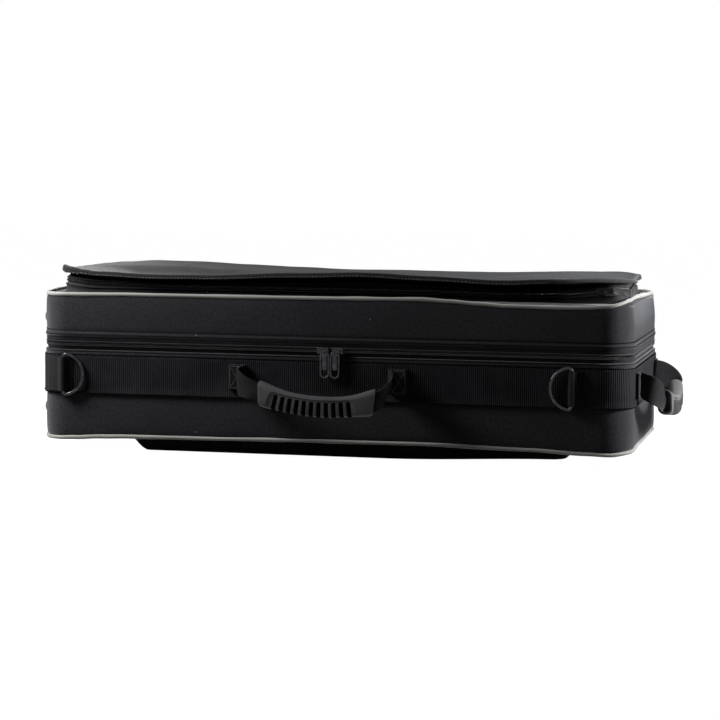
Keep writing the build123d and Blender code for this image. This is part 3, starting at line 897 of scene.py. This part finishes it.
def rimForm(distance, x, y, out, height):
    share = height / rimProfile[-1][1]
    low, top = flapLow(x, y), flapTop(x, y)
    level = low - 0.3 + (top - low + 0.5) * share
    # at the right the rim is a thick roll that leans back, so its face looks up
    roll = ease(x, 215, 285) * (1 - ease(y, -80, -10)) * (1 - 0.6 * ease(x, 302, 318))
    return out + roll * (5.0 * (1 - share) * ease(share, -0.02, 0.12) - 1.2 * share), level


flapRim = wall("pocket_flap_rim", flapShape, rimProfile, rimForm, step=4 * mm, arcSteps=14)
skewed(flapRim, flapSizes["tip"])
thicken(flapRim, 0.7)
finishPiece(flapRim, "flap", bindingCloth)
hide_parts("pocket_flap_binding")
print("flap made")


# the pocket's walls: cloth gussets with the zip between them

pocketShape = rounded(306 * mm, 114 * mm, 26 * mm, 8 * mm)
gussetLower = [(2.5, 170.2), (2.2, 170.8), (1.0, 171.6), (0.4, 173), (0.2, 175), (0.2, 177.2), (0.6, 178.6),
               (1.1, 179.3), (0.6, 180), (-0.5, 180.3), (-0.8, 182.2)]
gussetUpper = [(-0.8, 183.8), (-0.5, 185.4), (0.2, 185.8), (-1.2, 186.6), (-3.5, 187.4), (-4.5, 188.4),
               (-3.0, 189.4), (-2.2, 190.2)]
zipLine = [(-298, 0.5), (-285, -1.2), (-262, -3.8), (-200, -4.2), (180, -4.2), (250, -2.6), (285, 0), (320, 0)]
wallTip = 4  # how far the pocket's walls follow the flap's tip


def crumple(distance, x, height):
    left = 1 - ease(x, -298, -230)
    right = ease(x, 235, 300)
    folds = 2.2 * ripple(distance, height * mm * 6, 11, 0.016) + 1.0 * ripple(distance, height * mm * 9, 4, 0.007)
    return left * folds + right * (folds * 0.7 + 2.6 * ripple(distance, height * mm * 3, 8, 0.012))


def zipDrop(x, y):
    # the pocket's zip sinks between its ends
    return between(zipLine, x) * frontShare(y) + lidDrop(x, y) * 0.3


def lowerForm(distance, x, y, out, height):
    share = ease(height, 171, 181)
    flare = (1.2 - 3 * ease(height, 170, 182)) * ease(x, 296, 312)  # the right end slopes out to the lid
    out += crumple(distance, x, height) * share * 0.8 + flare
    return out, height + lidDrop(x, y) * 0.55 * (1 - share) + zipDrop(x, y) * share


def upperForm(distance, x, y, out, height):
    low, high = gussetUpper[0][1], gussetUpper[-1][1]
    share = (height - low) / (high - low)
    level = low + (flapLow(x, y) + 0.6 - low) * share
    out += crumple(distance, x, height) * math.sin(math.pi * min(1, share * 1.1)) - 1.8 * ease(x, 296, 312)
    return out, level + zipDrop(x, y) * (1 - share)


for part, body, profile, form, width, under in (
    ("lower", "lid", gussetLower, lowerForm, 0.0165, "lid_top_cover"),
    ("upper", "flap", gussetUpper, upperForm, 0.014, "pocket_flap"),
):
    gusset = wall("pocket_" + part + "_wall", pocketShape, profile, form, step=4 * mm, arcSteps=12)
    skewed(gusset, wallTip)
    thicken(gusset, 0.8)
    finishPiece(gusset, body, gussetCloth)
    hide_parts("pocket_" + part + "_gusset", "pocket_" + part + "_tape")

for part, body, level in (("lower", "lid", 182.45 * mm), ("upper", "flap", 183.55 * mm)):
    teeth = teethAlong("pocket_" + part + "_teeth", pocketShape, pocketZip, level)
    for vertex in teeth.data.vertices:
        vertex.co.z += zipDrop(vertex.co.x / mm, vertex.co.y / mm) * mm
    skewed(teeth, wallTip)
    finishPiece(teeth, body, coilPlastic, 50)
    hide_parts("pocket_" + part + "_coil")
print("pocket walls made")


# the strap bag and strap end under the base

bagSizes = {"halfX": 238, "halfY": 105, "corner": 16, "centreX": 12, "top": 18.6}
bagShape = rounded(*(bagSizes[key] * mm for key in ("halfX", "halfY", "corner", "centreX")))


def bagTop(x, y):
    return bagSizes["top"]


def bagLow(x, y):
    edge = edgeDistance(x, y, bagSizes["halfX"], bagSizes["halfY"], bagSizes["centreX"])
    low = 14 * (1 - ease(x, -228, -204)) + 5.2 * ease(x, 60, 250)
    soft = 0.5 * ripple(x, y, 2, 45) * ease(edge, 0, 30) * ease(x, -215, -180)
    return max(0, low + soft)


bag = pillow("strap_bag_cloth", bagShape, (96, 40), bagTop, bagLow)
outward(bag)
soften(bag, 1.4, 3, 50)
finishPiece(bag, "base", caseCloth, 50)
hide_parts("strap_bag")

strapEndSizes = {"left": -289, "length": 66, "width": 160, "top": 17.8}
strapEnd = grid("strap_end_web", (24, 40))
for vertex in strapEnd.data.vertices:
    x, y = vertex.co.x + 0.5, vertex.co.y * strapEndSizes["width"]
    drop = 7 * ease(x, 0.05, 1) + 0.3 * ripple(x * 60, y, 0, 20)
    vertex.co = ((strapEndSizes["left"] + strapEndSizes["length"] * x) * mm, y * mm, (strapEndSizes["top"] - drop) * mm)
thicken(strapEnd, 2)
finishPiece(strapEnd, "base", webbing)
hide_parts("strap_end")
print("underside made")


# linings: copies of the CAD foam, softened

def liningFrom(node, name, body):
    pick(cadNodes[node])
    bpy.ops.object.duplicate()
    piece = named(name)
    piece.parent = None
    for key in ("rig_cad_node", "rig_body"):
        if key in piece:
            del piece[key]
    editAll(piece, "VERT")
    bpy.ops.mesh.remove_doubles(threshold=0.00002)
    bpy.ops.mesh.select_all(action="SELECT")
    bpy.ops.mesh.dissolve_limited(angle_limit=math.radians(1))
    objectMode()
    soften(piece, 2.2, 4, 55)
    finishPiece(piece, body, plush)
    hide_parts(node)


liningFrom("base_insert", "base_lining", "base")
liningFrom("lid_insert", "lid_lining", "lid")
print("linings made")


# stitches: one stitch, repeated along a line

def joined(name, pieces):
    deselectAll()
    for piece in pieces:
        piece.select_set(True)
    bpy.context.view_layer.objects.active = pieces[0]
    bpy.ops.object.join()
    return named(name)


def stitch(name, length, thick):
    # a short thread, lying along X
    return rod(name, 5, thick, length, 0, (0, math.pi / 2, 0), 0.3)


def seam(name, shape, out, height, pitch, length, thick, wide=0.0):
    # stitches round an outline; wide makes a zigzag of two in each pitch
    curve = pathCurve(name + "_path", shape, -out, height)
    thread = stitch(name, length, thick)
    if wide:
        for vertex in thread.data.vertices:
            vertex.co.z += vertex.co.x * wide
        second = thread.copy()
        second.data = thread.data.copy()
        bpy.context.scene.collection.objects.link(second)
        for vertex in second.data.vertices:
            vertex.co.z *= -1
            vertex.co.x += pitch / 2
        second.data.flip_normals()
        thread = joined(name, [thread, second])
    for vertex in thread.data.vertices:
        vertex.co.x += pitch / 2
    repeatAlong(thread, pitch, curve)
    return thread


seams = {
    "lid_hem_stitches_low": {"out": 1.1, "height": 125.7, "pitch": 2.8, "length": 1.7, "thick": 1.2, "body": "lid"},
    "lid_hem_stitches_high": {"out": 0.3, "height": 130.3, "pitch": 2.8, "length": 1.6, "thick": 1.3, "body": "lid"},
    "base_hem_stitches": {"out": 1.0, "height": 108.0, "pitch": 2.8, "length": 1.5, "thick": 0.9, "body": "base"},
    "belt_stitches_top": {"out": 1.6, "height": 103.4, "pitch": 3.3, "length": 2.3, "thick": 1.6, "body": "base"},
    "belt_stitches_high": {"out": 1.85, "height": 100.1, "pitch": 2.8, "length": 1.5, "thick": 1.1, "body": "base"},
    "belt_stitches_low": {"out": 1.6, "height": 62.6, "pitch": 3.0, "length": 1.9, "thick": 1.2, "body": "base",
                          "wide": 0.7},
}
for name, row in seams.items():
    sizes = [row[key] * mm for key in ("out", "height", "pitch", "length", "thick")]
    thread = seam(name, caseShape, *sizes, wide=row.get("wide", 0))
    finishPiece(thread, row["body"], stitches, 60)

# slanted threads over the flap's rim
rimSeam = {"pitch": 4.0, "rise": 1.8, "start": 0.6}
rimThreads = seam("flap_rim_threads", flapShape, 1.1 * mm, 0, rimSeam["pitch"] * mm, 3.2 * mm, 1.1 * mm)
for vertex in rimThreads.data.vertices:
    distance = outlineAt(flapShape, vertex.co.x, vertex.co.y)[1]
    along = (distance / mm / rimSeam["pitch"]) % 1 - 0.5  # place within one stitch, for the slant
    level = flapLow(vertex.co.x / mm, vertex.co.y / mm) + rimSeam["start"] + along * rimSeam["rise"]
    vertex.co.z = level * mm + vertex.co.z
skewed(rimThreads, flapSizes["tip"])
finishPiece(rimThreads, "flap", boxThread, 60)
print("seams made")


# carrying handles: grip, straps and sewn ends, made for the front and turned for the end

handle = {
    "front": {"middle": (-10, -131.8, 84.75), "turn": 0, "body": "handle_front",
              "line": ((-57, -31, -12.5), (6, -36, -25), (69, -31, -19.5))},
    "end": {"middle": (321.8, -6, 84.75), "turn": 90, "body": "handle_end",
            "line": ((-57, -26, -19), (6, -31, -28), (69, -26.5, -21))},
    "length": 126, "half": 60.6, "shift": 0.9, "height": 24, "thick": 15, "corner": 6.0,
    "slots": 11, "slotPitch": 7.75, "slotWidth": 4.5, "slotDepth": 7.5, "slotTop": 5.2, "slotShift": -3.5,
    "recess": 0.8, "recessLeft": -50, "recessRight": 41, "recessTop": 7.6, "face": -15 / 2 * 0.94,
}


def boxPiece(name, low, high):
    # a box between two corners, in mm
    middle = [(a + b) / 2 * mm for a, b in zip(low, high)]
    piece = primitive(bpy.ops.mesh.primitive_cube_add, name, size=1, location=middle)
    piece.scale = [(b - a) * mm for a, b in zip(low, high)]
    applyPlace(piece)
    return piece


def roundEdges(piece, axis, width, segments, where=None):
    # rounds the edges along an axis, all of them or those whose middle passes a test
    choose(piece, "EDGE", lambda e: alongAxis(piece, e, axis) and (not where or where(edgeMiddle(piece, e))))
    bpy.ops.mesh.bevel(offset=width * mm, segments=segments)
    objectMode()


def splitEdges(piece, axis, cuts):
    choose(piece, "EDGE", lambda e: alongAxis(piece, e, axis))
    bpy.ops.mesh.subdivide(number_cuts=cuts)
    objectMode()


def cutBox(piece, low, high, corner=0, segments=4, where=None):
    # cuts a box out of a piece; corner rounds the box's edges along Y
    cutter = boxPiece("cutter", low, high)
    if corner:
        roundEdges(cutter, 1, corner, segments, where)
    modify(piece, "BOOLEAN", object=cutter, operation="DIFFERENCE", solver="EXACT")
    bpy.data.objects.remove(cutter)


def straightGrip(name):
    # the grip lies along X, its outer face towards -Y
    half, thick, height, face = (handle[key] for key in ("half", "thick", "height", "face"))
    bar = boxPiece(name, (-half, -thick / 2, -height / 2), (half, thick / 2, height / 2))
    roundEdges(bar, 0, handle["corner"], 5)
    splitEdges(bar, 0, 41)
    for vertex in bar.data.vertices:
        # flared ends, a slimmer middle, and the far end cut on a slant
        u = vertex.co.x / (half * mm)
        flare = 0.9 + 0.15 * ease(abs(u), 0.45, 1.0) - 0.02 * ease(abs(u), 0.97, 1.0)
        top = 1 + (0.12 if u > 0 else 0.03) * ease(abs(u), 0.7, 1.0) * (1 if vertex.co.z > 0 else 0)
        vertex.co.z *= flare * top
        vertex.co.y *= 0.94 + 0.1 * ease(abs(u), 0.5, 1.0)
        vertex.co.x += (0.34 if u > 0 else -0.34) * vertex.co.z * ease(abs(u), 0.72, 1.0)
    for side in (-1, 1):
        choose(bar, "FACE", lambda f: f.normal.x * side > 0.9 and f.center.x * side > half * mm * 0.9)
        bpy.ops.mesh.inset(thickness=0.8 * mm)
        bpy.ops.transform.translate(value=(side * 0.5 * mm, 0, 0))
        bpy.ops.mesh.inset(thickness=1.5 * mm)
        bpy.ops.mesh.extrude_region_move(TRANSFORM_OT_translate={"value": (-side * 9 * mm, 0, 0)})
        objectMode()
    isTop = lambda middle: middle.z > 0
    cutBox(bar, (handle["recessLeft"], face - 6, -20),
           (handle["recessRight"], face + handle["recess"], handle["recessTop"]), corner=6, segments=5, where=isTop)
    for index in range(handle["slots"]):
        x = handle["slotShift"] + (index - (handle["slots"] - 1) / 2) * handle["slotPitch"]
        width = handle["slotWidth"] / 2
        cutBox(bar, (x - width, face - 6, -20), (x + width, face + handle["slotDepth"], handle["slotTop"]),
               corner=1.4, segments=3, where=isTop)
    soften(bar, 0.35, 2, 42)
    return bar


def slotFaces(bar):
    # the faces inside the slots, which get a near-black colour as painted shade
    found = []
    floor = handle["face"] + handle["recess"] + 0.6
    deepest = handle["face"] + handle["slotDepth"] + 0.5
    for face in bar.data.polygons:
        x, y, z = face.center / mm
        place = (x - handle["slotShift"]) / handle["slotPitch"]
        aside = abs(place - round(place)) * handle["slotPitch"]
        inside = aside < handle["slotWidth"] / 2 + 0.15 and abs(place) < handle["slots"] / 2
        if inside and z < handle["slotTop"] + 0.2 and floor < y < deepest:
            found.append(face.index)
    return found


def gripPlace(t, which):
    # point and direction on the grip's bowed middle line, in mm about the handle's middle
    a, b, c = (Vector(place) for place in handle[which]["line"])
    point = a * (2 * (t - 0.5) * (t - 1)) + b * (-4 * t * (t - 1)) + c * (2 * t * (t - 0.5))
    line = a * (4 * t - 3) + b * (4 - 8 * t) + c * (4 * t - 1)
    return point, line.normalized()


def bowGrip(piece, which):
    for vertex in piece.data.vertices:
        u, v, w = vertex.co / mm
        share = (u + handle["shift"]) / handle["length"] + 0.5
        point, line = gripPlace(share, which)
        depth = (Vector((0, 1, 0)) - line * line.y).normalized()
        rise = line.cross(depth)
        place = point + depth * v + rise * w
        vertex.co = place * mm


def handleTurn(which):
    return Matrix.Rotation(math.radians(handle[which]["turn"]), 4, "Z")


def handlePlace(piece, which):
    moveTo(piece, handle[which]["middle"], handleTurn(which))


strapSizes = {
    -1: {"first": (-15, -16, -1.5), "reach": 20, "twist": 6, "narrow": 20},
    1: {"first": (5, -17, -1), "reach": 14, "twist": -30, "narrow": 19},
    "wide": 26.5, "long": 0.045, "thick": 2.2, "steps": 22, "start": 77.5, "inGrip": -6,
    "hollow": 1.3, "roll": 3.2, "wave": 0.6,
}


def strapPoints(side, which):
    # points and directions between the sewn end and the grip
    row = strapSizes[side]
    start = Vector((side * strapSizes["start"], -3.0, 0.0))
    end, line = gripPlace(0.0 if side < 0 else 1.0, which)
    end = end + line * side * strapSizes["inGrip"]
    first = start + Vector(row["first"])
    second = end + line * side * row["reach"] + Vector((0, -2, -1))
    points = []
    for i in range(strapSizes["steps"] + 1):
        t = i / strapSizes["steps"]
        a, b, c, d = (1 - t) ** 3, 3 * t * (1 - t) ** 2, 3 * t * t * (1 - t), t ** 3
        place = start * a + first * b + second * c + end * d
        slope = (first - start) * (3 * (1 - t) ** 2) + (second - first) * (6 * t * (1 - t))
        slope += (end - second) * (3 * t * t)
        points.append((place, slope.normalized(), t))
    return points


def strap(name, side, which):
    # a flat strip lofted along its line, wide at the case and folded narrower into the grip
    piece = grid(name, (strapSizes["steps"], 12))
    points = strapPoints(side, which)
    row = strapSizes[side]
    places = []
    for vertex in piece.data.vertices:
        index = round((vertex.co.x + 0.5) * strapSizes["steps"])
        across = vertex.co.y * 2
        place, line, t = points[index]
        width = strapSizes["wide"] + (row["narrow"] - strapSizes["wide"]) * ease(t, 0.3, 0.95)
        twist = math.radians(row["twist"] * math.sin(math.pi * t))
        flat = line.cross(Vector((0, 0, 1))).normalized()
        rise = flat.cross(line).normalized()
        direction = rise * math.cos(twist) + flat * math.sin(twist)
        hollow = (1 - across * across) * strapSizes["hollow"] * math.sin(math.pi * t)
        roll = ease(t, 0.6, 1.0) * across * across * strapSizes["roll"]
        spot = place + direction * across * width / 2 + flat * (hollow - roll) * side * -1
        spot += flat * strapSizes["wave"] * ripple(t * 30, across * 8, side, 6)
        vertex.co = spot * mm
        places.append((t * strapSizes["long"], across * width / 2 * mm))
    putUv(piece, places)
    thicken(piece, strapSizes["thick"], 0)
    soften(piece, 0.6, 2, 50)
    return piece


sewn = {"start": 78.5, "end": 96.5, "length": 18, "half": 13.5, "thick": 3.6, "puff": 0.5, "cross": 0.45}


def sewnLow(side):
    return min(side * sewn["start"], side * sewn["end"])


def sewnEnd(name, side):
    # the strap's doubled end on the belt, a little pillowed between its stitches
    low, half = sewnLow(side), sewn["half"]
    piece = boxPiece(name, (low, -sewn["thick"], -half), (low + sewn["length"], 0, half))
    editAll(piece)
    bpy.ops.mesh.subdivide(number_cuts=9)
    objectMode()
    for vertex in piece.data.vertices:
        x = (vertex.co.x / mm - low) / sewn["length"] * 2 - 1
        z = vertex.co.z / mm / half
        puff = max(0, 1 - max(abs(x), abs(z)) ** 4)
        cross = max(0, 1 - abs(abs(x) - abs(z)) * 4)
        if vertex.co.y < -2 * mm:
            vertex.co.y -= (sewn["puff"] * puff - sewn["cross"] * cross * puff) * mm
    soften(piece, 0.7, 2, 50)
    putUv(piece, [(v.co.x + v.co.y, v.co.z) for v in piece.data.vertices])
    return piece


def threadLine(name, start, end, pitch, length, thick):
    # a straight row of stitches between two points, in mm, on a face that looks towards -Y
    start, end = Vector(start), Vector(end)
    distance = (end - start).length
    thread = stitch(name, length * mm, thick * mm)
    repeat(thread, pitch * mm, max(2, int(distance / pitch)))
    line = (end - start).normalized()
    moveTo(thread, start + line * pitch / 2, Matrix.Rotation(-math.atan2(line.z, line.x), 4, "Y"))
    return thread


def boxStitches(name, low, high, level):
    corners = [(x, level, z) for x, z in ((low[0], low[1]), (high[0], low[1]), (high[0], high[1]), (low[0], high[1]))]
    lines = [(corners[a], corners[b]) for a, b in ((0, 1), (1, 2), (2, 3), (3, 0), (0, 2), (1, 3))]
    threads = [threadLine(name + str(i), a, b, pitch=2.1, length=1.8, thick=1.0) for i, (a, b) in enumerate(lines)]
    return joined(name, threads)


for which in ("front", "end"):
    body = handle[which]["body"]
    grip = straightGrip(which + "_grip")
    dark = slotFaces(grip)
    bowGrip(grip, which)
    handlePlace(grip, which)
    finishPiece(grip, body, gripVinyl, 38)
    # the slot faces get the near-black colour, painted shade in the slots
    grip.data.materials.append(slotShade)
    for index in dark:
        grip.data.polygons[index].material_index = 1
    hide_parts(which + "_handle_grip", which + "_handle_core")
    for label, side in (("near", -1), ("far", 1)):
        band = strap(which + "_strap_" + label, side, which)
        handlePlace(band, which)
        finishPiece(band, None, strapWeb)
        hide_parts(which + "_handle_strap_" + label)
        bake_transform(band)
        patch = sewnEnd(which + "_sewn_end_" + label, side)
        handlePlace(patch, which)
        finishPiece(patch, "base", strapWeb)
        low = sewnLow(side)
        threads = boxStitches(which + "_box_stitches_" + label, (low + 2, -11.5), (low + 16, 11.5), -4.0)
        handlePlace(threads, which)
        finishPiece(threads, "base", boxThread, 60)
        if label == "near":
            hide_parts(which + "_handle_anchors")
print("handles made")


# D-rings and the tabs that hold them

ringSizes = {
    "left_d_ring": {"bar": -290.5, "bow": 1, "body": "ring_left"},
    "right_d_ring": {"bar": 259.5, "bow": -1, "body": "ring_right"},
    "out": -135.5, "height": 83, "radius": 22, "corner": 3.5, "wire": 1.9,
}


def ringPoints(bar, bow):
    # one bent wire: a bow, two small corners and a straight bar
    radius, corner = ringSizes["radius"], ringSizes["corner"]
    rise = math.sqrt((radius - corner) ** 2 - corner ** 2)
    turn = math.atan2(rise, corner)
    points = [(radius * math.cos(turn * i / 16), radius * math.sin(turn * i / 16)) for i in range(-16, 17)]
    angles = [turn + (math.pi - turn) * i / 5 for i in range(1, 6)]
    bend = [(corner + corner * math.cos(angle), rise + corner * math.sin(angle)) for angle in angles]
    points += bend + [(0, rise * 0.5), (0, 0), (0, -rise * 0.5)] + [(x, -z) for x, z in reversed(bend)]
    return [Vector((bar + bow * x, ringSizes["out"], ringSizes["height"] + z)) * mm for x, z in points]


def wire(name, points, radius):
    # a closed round wire through the points
    deselectAll()
    bpy.ops.mesh.primitive_circle_add(vertices=len(points), radius=1)
    for vertex, point in zip(bpy.context.object.data.vertices, points):
        vertex.co = point
    bpy.ops.object.convert(target="CURVE")
    bpy.context.object.data.bevel_depth = radius
    bpy.context.object.data.bevel_resolution = 4
    bpy.ops.object.convert(target="MESH")
    return named(name)


for name in ("left_d_ring", "right_d_ring"):
    row = ringSizes[name]
    ring = wire(name + "_wire", ringPoints(row["bar"], row["bow"]), ringSizes["wire"] * mm)
    outward(ring)
    finishPiece(ring, row["body"], darkMetal, 60)
    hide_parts(name)

tabSizes = {
    "left_ring_tab": {
        "side": -1, "flat": (0.038, 0.036), "threads": (-282.6, -303.5),
        "rise": [(281, 2.0), (283, 2.5), (286.2, 2.9), (287.6, 5.4), (289.2, 7.7), (290.6, 8.2), (292.2, 7.6),
                 (294.6, 4.6), (297.5, 3.3), (309, 2.9), (311, 2.1)],
    },
    "right_ring_tab": {
        "side": 1, "flat": (0.03, 0.036), "threads": (253.2, 266.6, 270.5),
        "rise": [(251.5, 2.0), (253, 2.5), (255.4, 3.0), (256.8, 5.6), (258.2, 7.8), (259.6, 8.2), (261.2, 7.6),
                 (263.4, 4.6), (265.6, 3.3), (272, 2.9), (273.6, 2.1)],
    },
    "half": 18.2, "thick": 1.1,
}


def alongCase(distance, out, height):
    # a place on the case's front or round its corners, in mm
    corner = caseSizes["corner"]
    flatX, flatY = caseSizes["halfX"] - corner, caseSizes["halfY"] - corner
    turn = max(0, abs(distance) - flatX) / corner
    direction = Vector((math.copysign(math.sin(turn), distance), -math.cos(turn), 0))
    middle = Vector((math.copysign(min(abs(distance), flatX), distance), -flatY, height))
    return middle + direction * (corner + out)


def tab(name):
    row = tabSizes[name]
    low, high = row["rise"][0][0], row["rise"][-1][0]
    piece = grid(name + "_web", (60, 10))
    places = []
    for vertex in piece.data.vertices:
        along = low + (high - low) * (vertex.co.x + 0.5)
        height = ringSizes["height"] + vertex.co.y * 2 * tabSizes["half"]
        out = between(row["rise"], along) + 0.12 * ripple(along, height, 0, 5)
        places.append((along * mm, height * mm))
        vertex.co = alongCase(row["side"] * along, out, height) * mm
    putUv(piece, places)
    if row["side"] > 0:
        piece.data.flip_normals()
    thicken(piece, tabSizes["thick"], row["side"])
    outward(piece)
    return piece


upright = Matrix.Rotation(math.pi / 2, 4, "Y")
for name in ("left_ring_tab", "right_ring_tab"):
    strip = tab(name)
    finishPiece(strip, "base", strapWeb)
    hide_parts(name)
    threads = []
    for index, distance in enumerate(tabSizes[name]["threads"]):
        thread = threadLine(name + str(index), (-17, 0, 0), (17, 0, 0), pitch=2.3, length=1.6, thick=0.7)
        out = between(tabSizes[name]["rise"], abs(distance)) + 0.1
        moveTo(thread, alongCase(distance, out, ringSizes["height"]), upright)
        threads.append(thread)
    finishPiece(joined(name + "_stitches", threads), "base", stitches, 60)
print("rings and tabs made")


# sliders and pullers

def sliderBody(name, middle, long):
    # a waisted plate with a bridge that the puller hangs in; middle is on the tape, in mm
    plate = boxPiece(name, (-long / 2, -2.6, -4), (long / 2, 0, 4))
    splitEdges(plate, 0, 9)
    for vertex in plate.data.vertices:
        u = vertex.co.x / (long / 2 * mm)
        vertex.co.z *= 0.8 + 0.2 * math.cos(math.pi * u * 0.9) ** 2
        vertex.co.y *= 1 - 0.25 * u * u if vertex.co.y < -mm else 1
    soften(plate, 0.8, 3, 60)
    bridge = boxPiece(name + "_bridge", (-long * 0.36, -6.4, -1.5), (long * 0.36, -2.2, 1.5))
    roundEdges(bridge, 2, 1.7, 4, lambda middle: middle.y < -4 * mm)
    cutBox(bridge, (-long * 0.22, -5.0, -4), (long * 0.22, -2.5, 4))
    soften(bridge, 0.4, 2, 50)
    piece = joined(name, [plate, bridge])
    moveTo(piece, middle)
    return piece


def loopPuller(name, middle):
    # a long loop with a tongue down its middle
    loop = boxPiece(name, (-5.3, -0.9, -29.5), (5.3, 0.9, -1.2))
    roundEdges(loop, 1, 4.6, 6)
    cutBox(loop, (-3.4, -4, -27.6), (3.4, 4, -3.6), corner=3.2, segments=6)
    soften(loop, 0.5, 3, 60)
    tongue = boxPiece(name + "_tongue", (-2.5, -0.6, -21), (2.5, 0.6, -2.4))
    roundEdges(tongue, 1, 1.6, 3, lambda middle: middle.z < -10 * mm)
    soften(tongue, 0.35, 2, 60)
    eye = boxPiece(name + "_eye", (-2.2, -0.9, -3.2), (2.2, 0.9, 1.2))
    soften(eye, 0.6, 2, 60)
    piece = joined(name, [loop, tongue, eye])
    moveTo(piece, middle)
    return piece


# along X, where each slider's middle and its puller's hinge are
sliders = {"left": {"body": -4.4, "puller": -1.6}, "right": {"body": 11.2, "puller": 9.4}}
for side, row in sliders.items():
    body = sliderBody(side + "_slider_body", (row["body"], -131.4, 115.4), 12.6)
    finishPiece(body, "slider_" + side, darkMetal)
    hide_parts(side + "_slider")
    puller = loopPuller(side + "_puller_loop", (row["puller"], -136.5, 116))
    finishPiece(puller, "puller_" + side, darkMetal)
    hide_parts(side + "_puller")

pocketBody = sliderBody("pocket_slider_body", (286.5, -115.2, 183), 11)
finishPiece(pocketBody, "slider_pocket", blackMetal)
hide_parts("pocket_slider")


def platePuller(name, middle):
    # a thin neck and a plate that widens to its tip, with a slot near the tip
    neck = boxPiece(name, (-1.2, -0.7, -1.1), (16.5, 0.7, 1.1))
    soften(neck, 0.5, 2, 60)
    plate = boxPiece(name + "_plate", (14.5, -0.9, -5), (33, 0.9, 5))
    for vertex in plate.data.vertices:
        if vertex.co.x < 20 * mm:
            vertex.co.z *= 0.66
    roundEdges(plate, 1, 1.8, 4)
    cutBox(plate, (26.4, -4, -2.6), (29.6, 4, 2.6), corner=1.5)
    soften(plate, 0.4, 2, 60)
    piece = joined(name, [neck, plate])
    for vertex in piece.data.vertices:
        vertex.co.z -= max(0, vertex.co.x - 4 * mm) * 0.16
    moveTo(piece, middle)
    return piece


neckEnd = 0.2992  # the puller's neck stays dark up to here
pocketPuller = platePuller("pocket_puller_plate", (285, -120.6, 186))
finishPiece(pocketPuller, "puller_pocket", linkMetal)
pocketPuller.data.materials.append(blackMetal)
for face in pocketPuller.data.polygons:
    if face.center.x < neckEnd:
        face.material_index = 1
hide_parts("pocket_puller")
print("sliders and pullers made")


# what is left of the CAD nodes gets its finish

finishes = {
    "base_shell": foamShell, "lid_shell": foamShell,
    "base_feet": footPlastic, "lid_feet": footPlastic,
    "base_foot_rivets": darkMetal, "lid_foot_rivets": darkMetal,
}
for name, material in finishes.items():
    node = cadNodes[name]
    node.data.materials.clear()
    node.data.materials.append(material)


# floor, lamps and camera

floorSizes = {"size": 14, "level": -0.0002, "shown": 0.995, "albedo": 0.16}
worldSizes = {"shown": 1.0, "light": 0.012}


def seenDirectly(tree):
    # 1 where the camera looks, straight or by a mirror or glass, and 0 for light that falls on the object
    rays = addNode(tree, "LightPath").outputs
    glassy = addNode(tree, "Math", {0: rays["Is Glossy Ray"], 1: rays["Is Transmission Ray"]}, operation="MAXIMUM")
    return addNode(tree, "Math", {0: rays["Is Camera Ray"], 1: glassy.outputs[0]}, operation="MAXIMUM").outputs[0]


floor = primitive(bpy.ops.mesh.primitive_plane_add, "studio_floor", size=floorSizes["size"],
                  location=(0, 0, floorSizes["level"]))
applyPlace(floor)
floorMaterial = bpy.data.materials.new("floor_white")
floorMaterial.use_nodes = True
tree = floorMaterial.node_tree
tree.nodes.clear()
shown = addNode(tree, "Math", {0: seenDirectly(tree), 1: floorSizes["shown"]}, operation="MULTIPLY")
glow = addNode(tree, "Emission", {"Strength": shown.outputs[0]})
paint = addNode(tree, "BsdfDiffuse", {"Color": (floorSizes["albedo"],) * 3 + (1,)})
both = addNode(tree, "AddShader", {0: glow.outputs[0], 1: paint.outputs[0]})
addNode(tree, "OutputMaterial", {0: both.outputs[0]})
floor.data.materials.append(floorMaterial)

world = bpy.data.worlds.new("studio")
bpy.context.scene.world = world
world.use_nodes = True
tree = world.node_tree
level = addNode(tree, "MapRange", {0: seenDirectly(tree), 3: worldSizes["light"], 4: worldSizes["shown"]})
sky = tree.nodes["Background"]
sky.inputs["Color"].default_value = (1, 1, 1, 1)
tree.links.new(level.outputs[0], sky.inputs["Strength"])

lamps = {
    "left_softbox": {"place": (-0.64, -0.29, 0.54), "aim": (-0.2, 0, 0.12), "size": 0.28, "power": 8.6},
    "top_softbox": {"place": (0.285, -0.04, 0.315), "aim": (0.285, -0.035, 0.19), "size": 0.1, "power": 0.72},
    "side_softbox": {"place": (0.66, -0.05, 0.27), "aim": (0.32, -0.05, 0.11), "size": 0.1, "power": 4.1},
    "back_softbox": {"place": (-0.66, 0.95, 0.54), "aim": (-0.22, -0.05, 0.19), "size": 0.22, "power": 2.7},
}
for name, lamp in lamps.items():
    light = bpy.data.lights.new(name, "AREA")
    light.shape = "RECTANGLE"
    light.size = light.size_y = lamp["size"]
    light.energy = lamp["power"]
    holder = bpy.data.objects.new(name, light)
    holder.visible_camera = False
    bpy.context.scene.collection.objects.link(holder)
    place, aim = Vector(lamp["place"]), Vector(lamp["aim"])
    holder.location = place
    holder.rotation_euler = (aim - place).to_track_quat("-Z", "Y").to_euler()

# the photo's viewpoint: where the camera stands and which way its right, up and back point
cameraSizes = {
    "sensor": 36, "lens": 125.96, "place": (0.6031, -2.704, 0.3302),
    "axes": ((0.9763, 0.2162, 0.0089), (-0.0269, 0.0807, 0.9964), (0.2147, -0.973, 0.0846)),
}
cameraData = bpy.data.cameras.new("photo_camera")
cameraData.sensor_width = cameraSizes["sensor"]
cameraData.lens = cameraSizes["lens"]
camera = bpy.data.objects.new("photo_camera", cameraData)
bpy.context.scene.collection.objects.link(camera)
camera.matrix_world = Matrix(cameraSizes["axes"]).transposed().to_4x4()
camera.location = cameraSizes["place"]
bpy.context.scene.camera = camera
bpy.context.scene.view_settings.view_transform = "Standard"
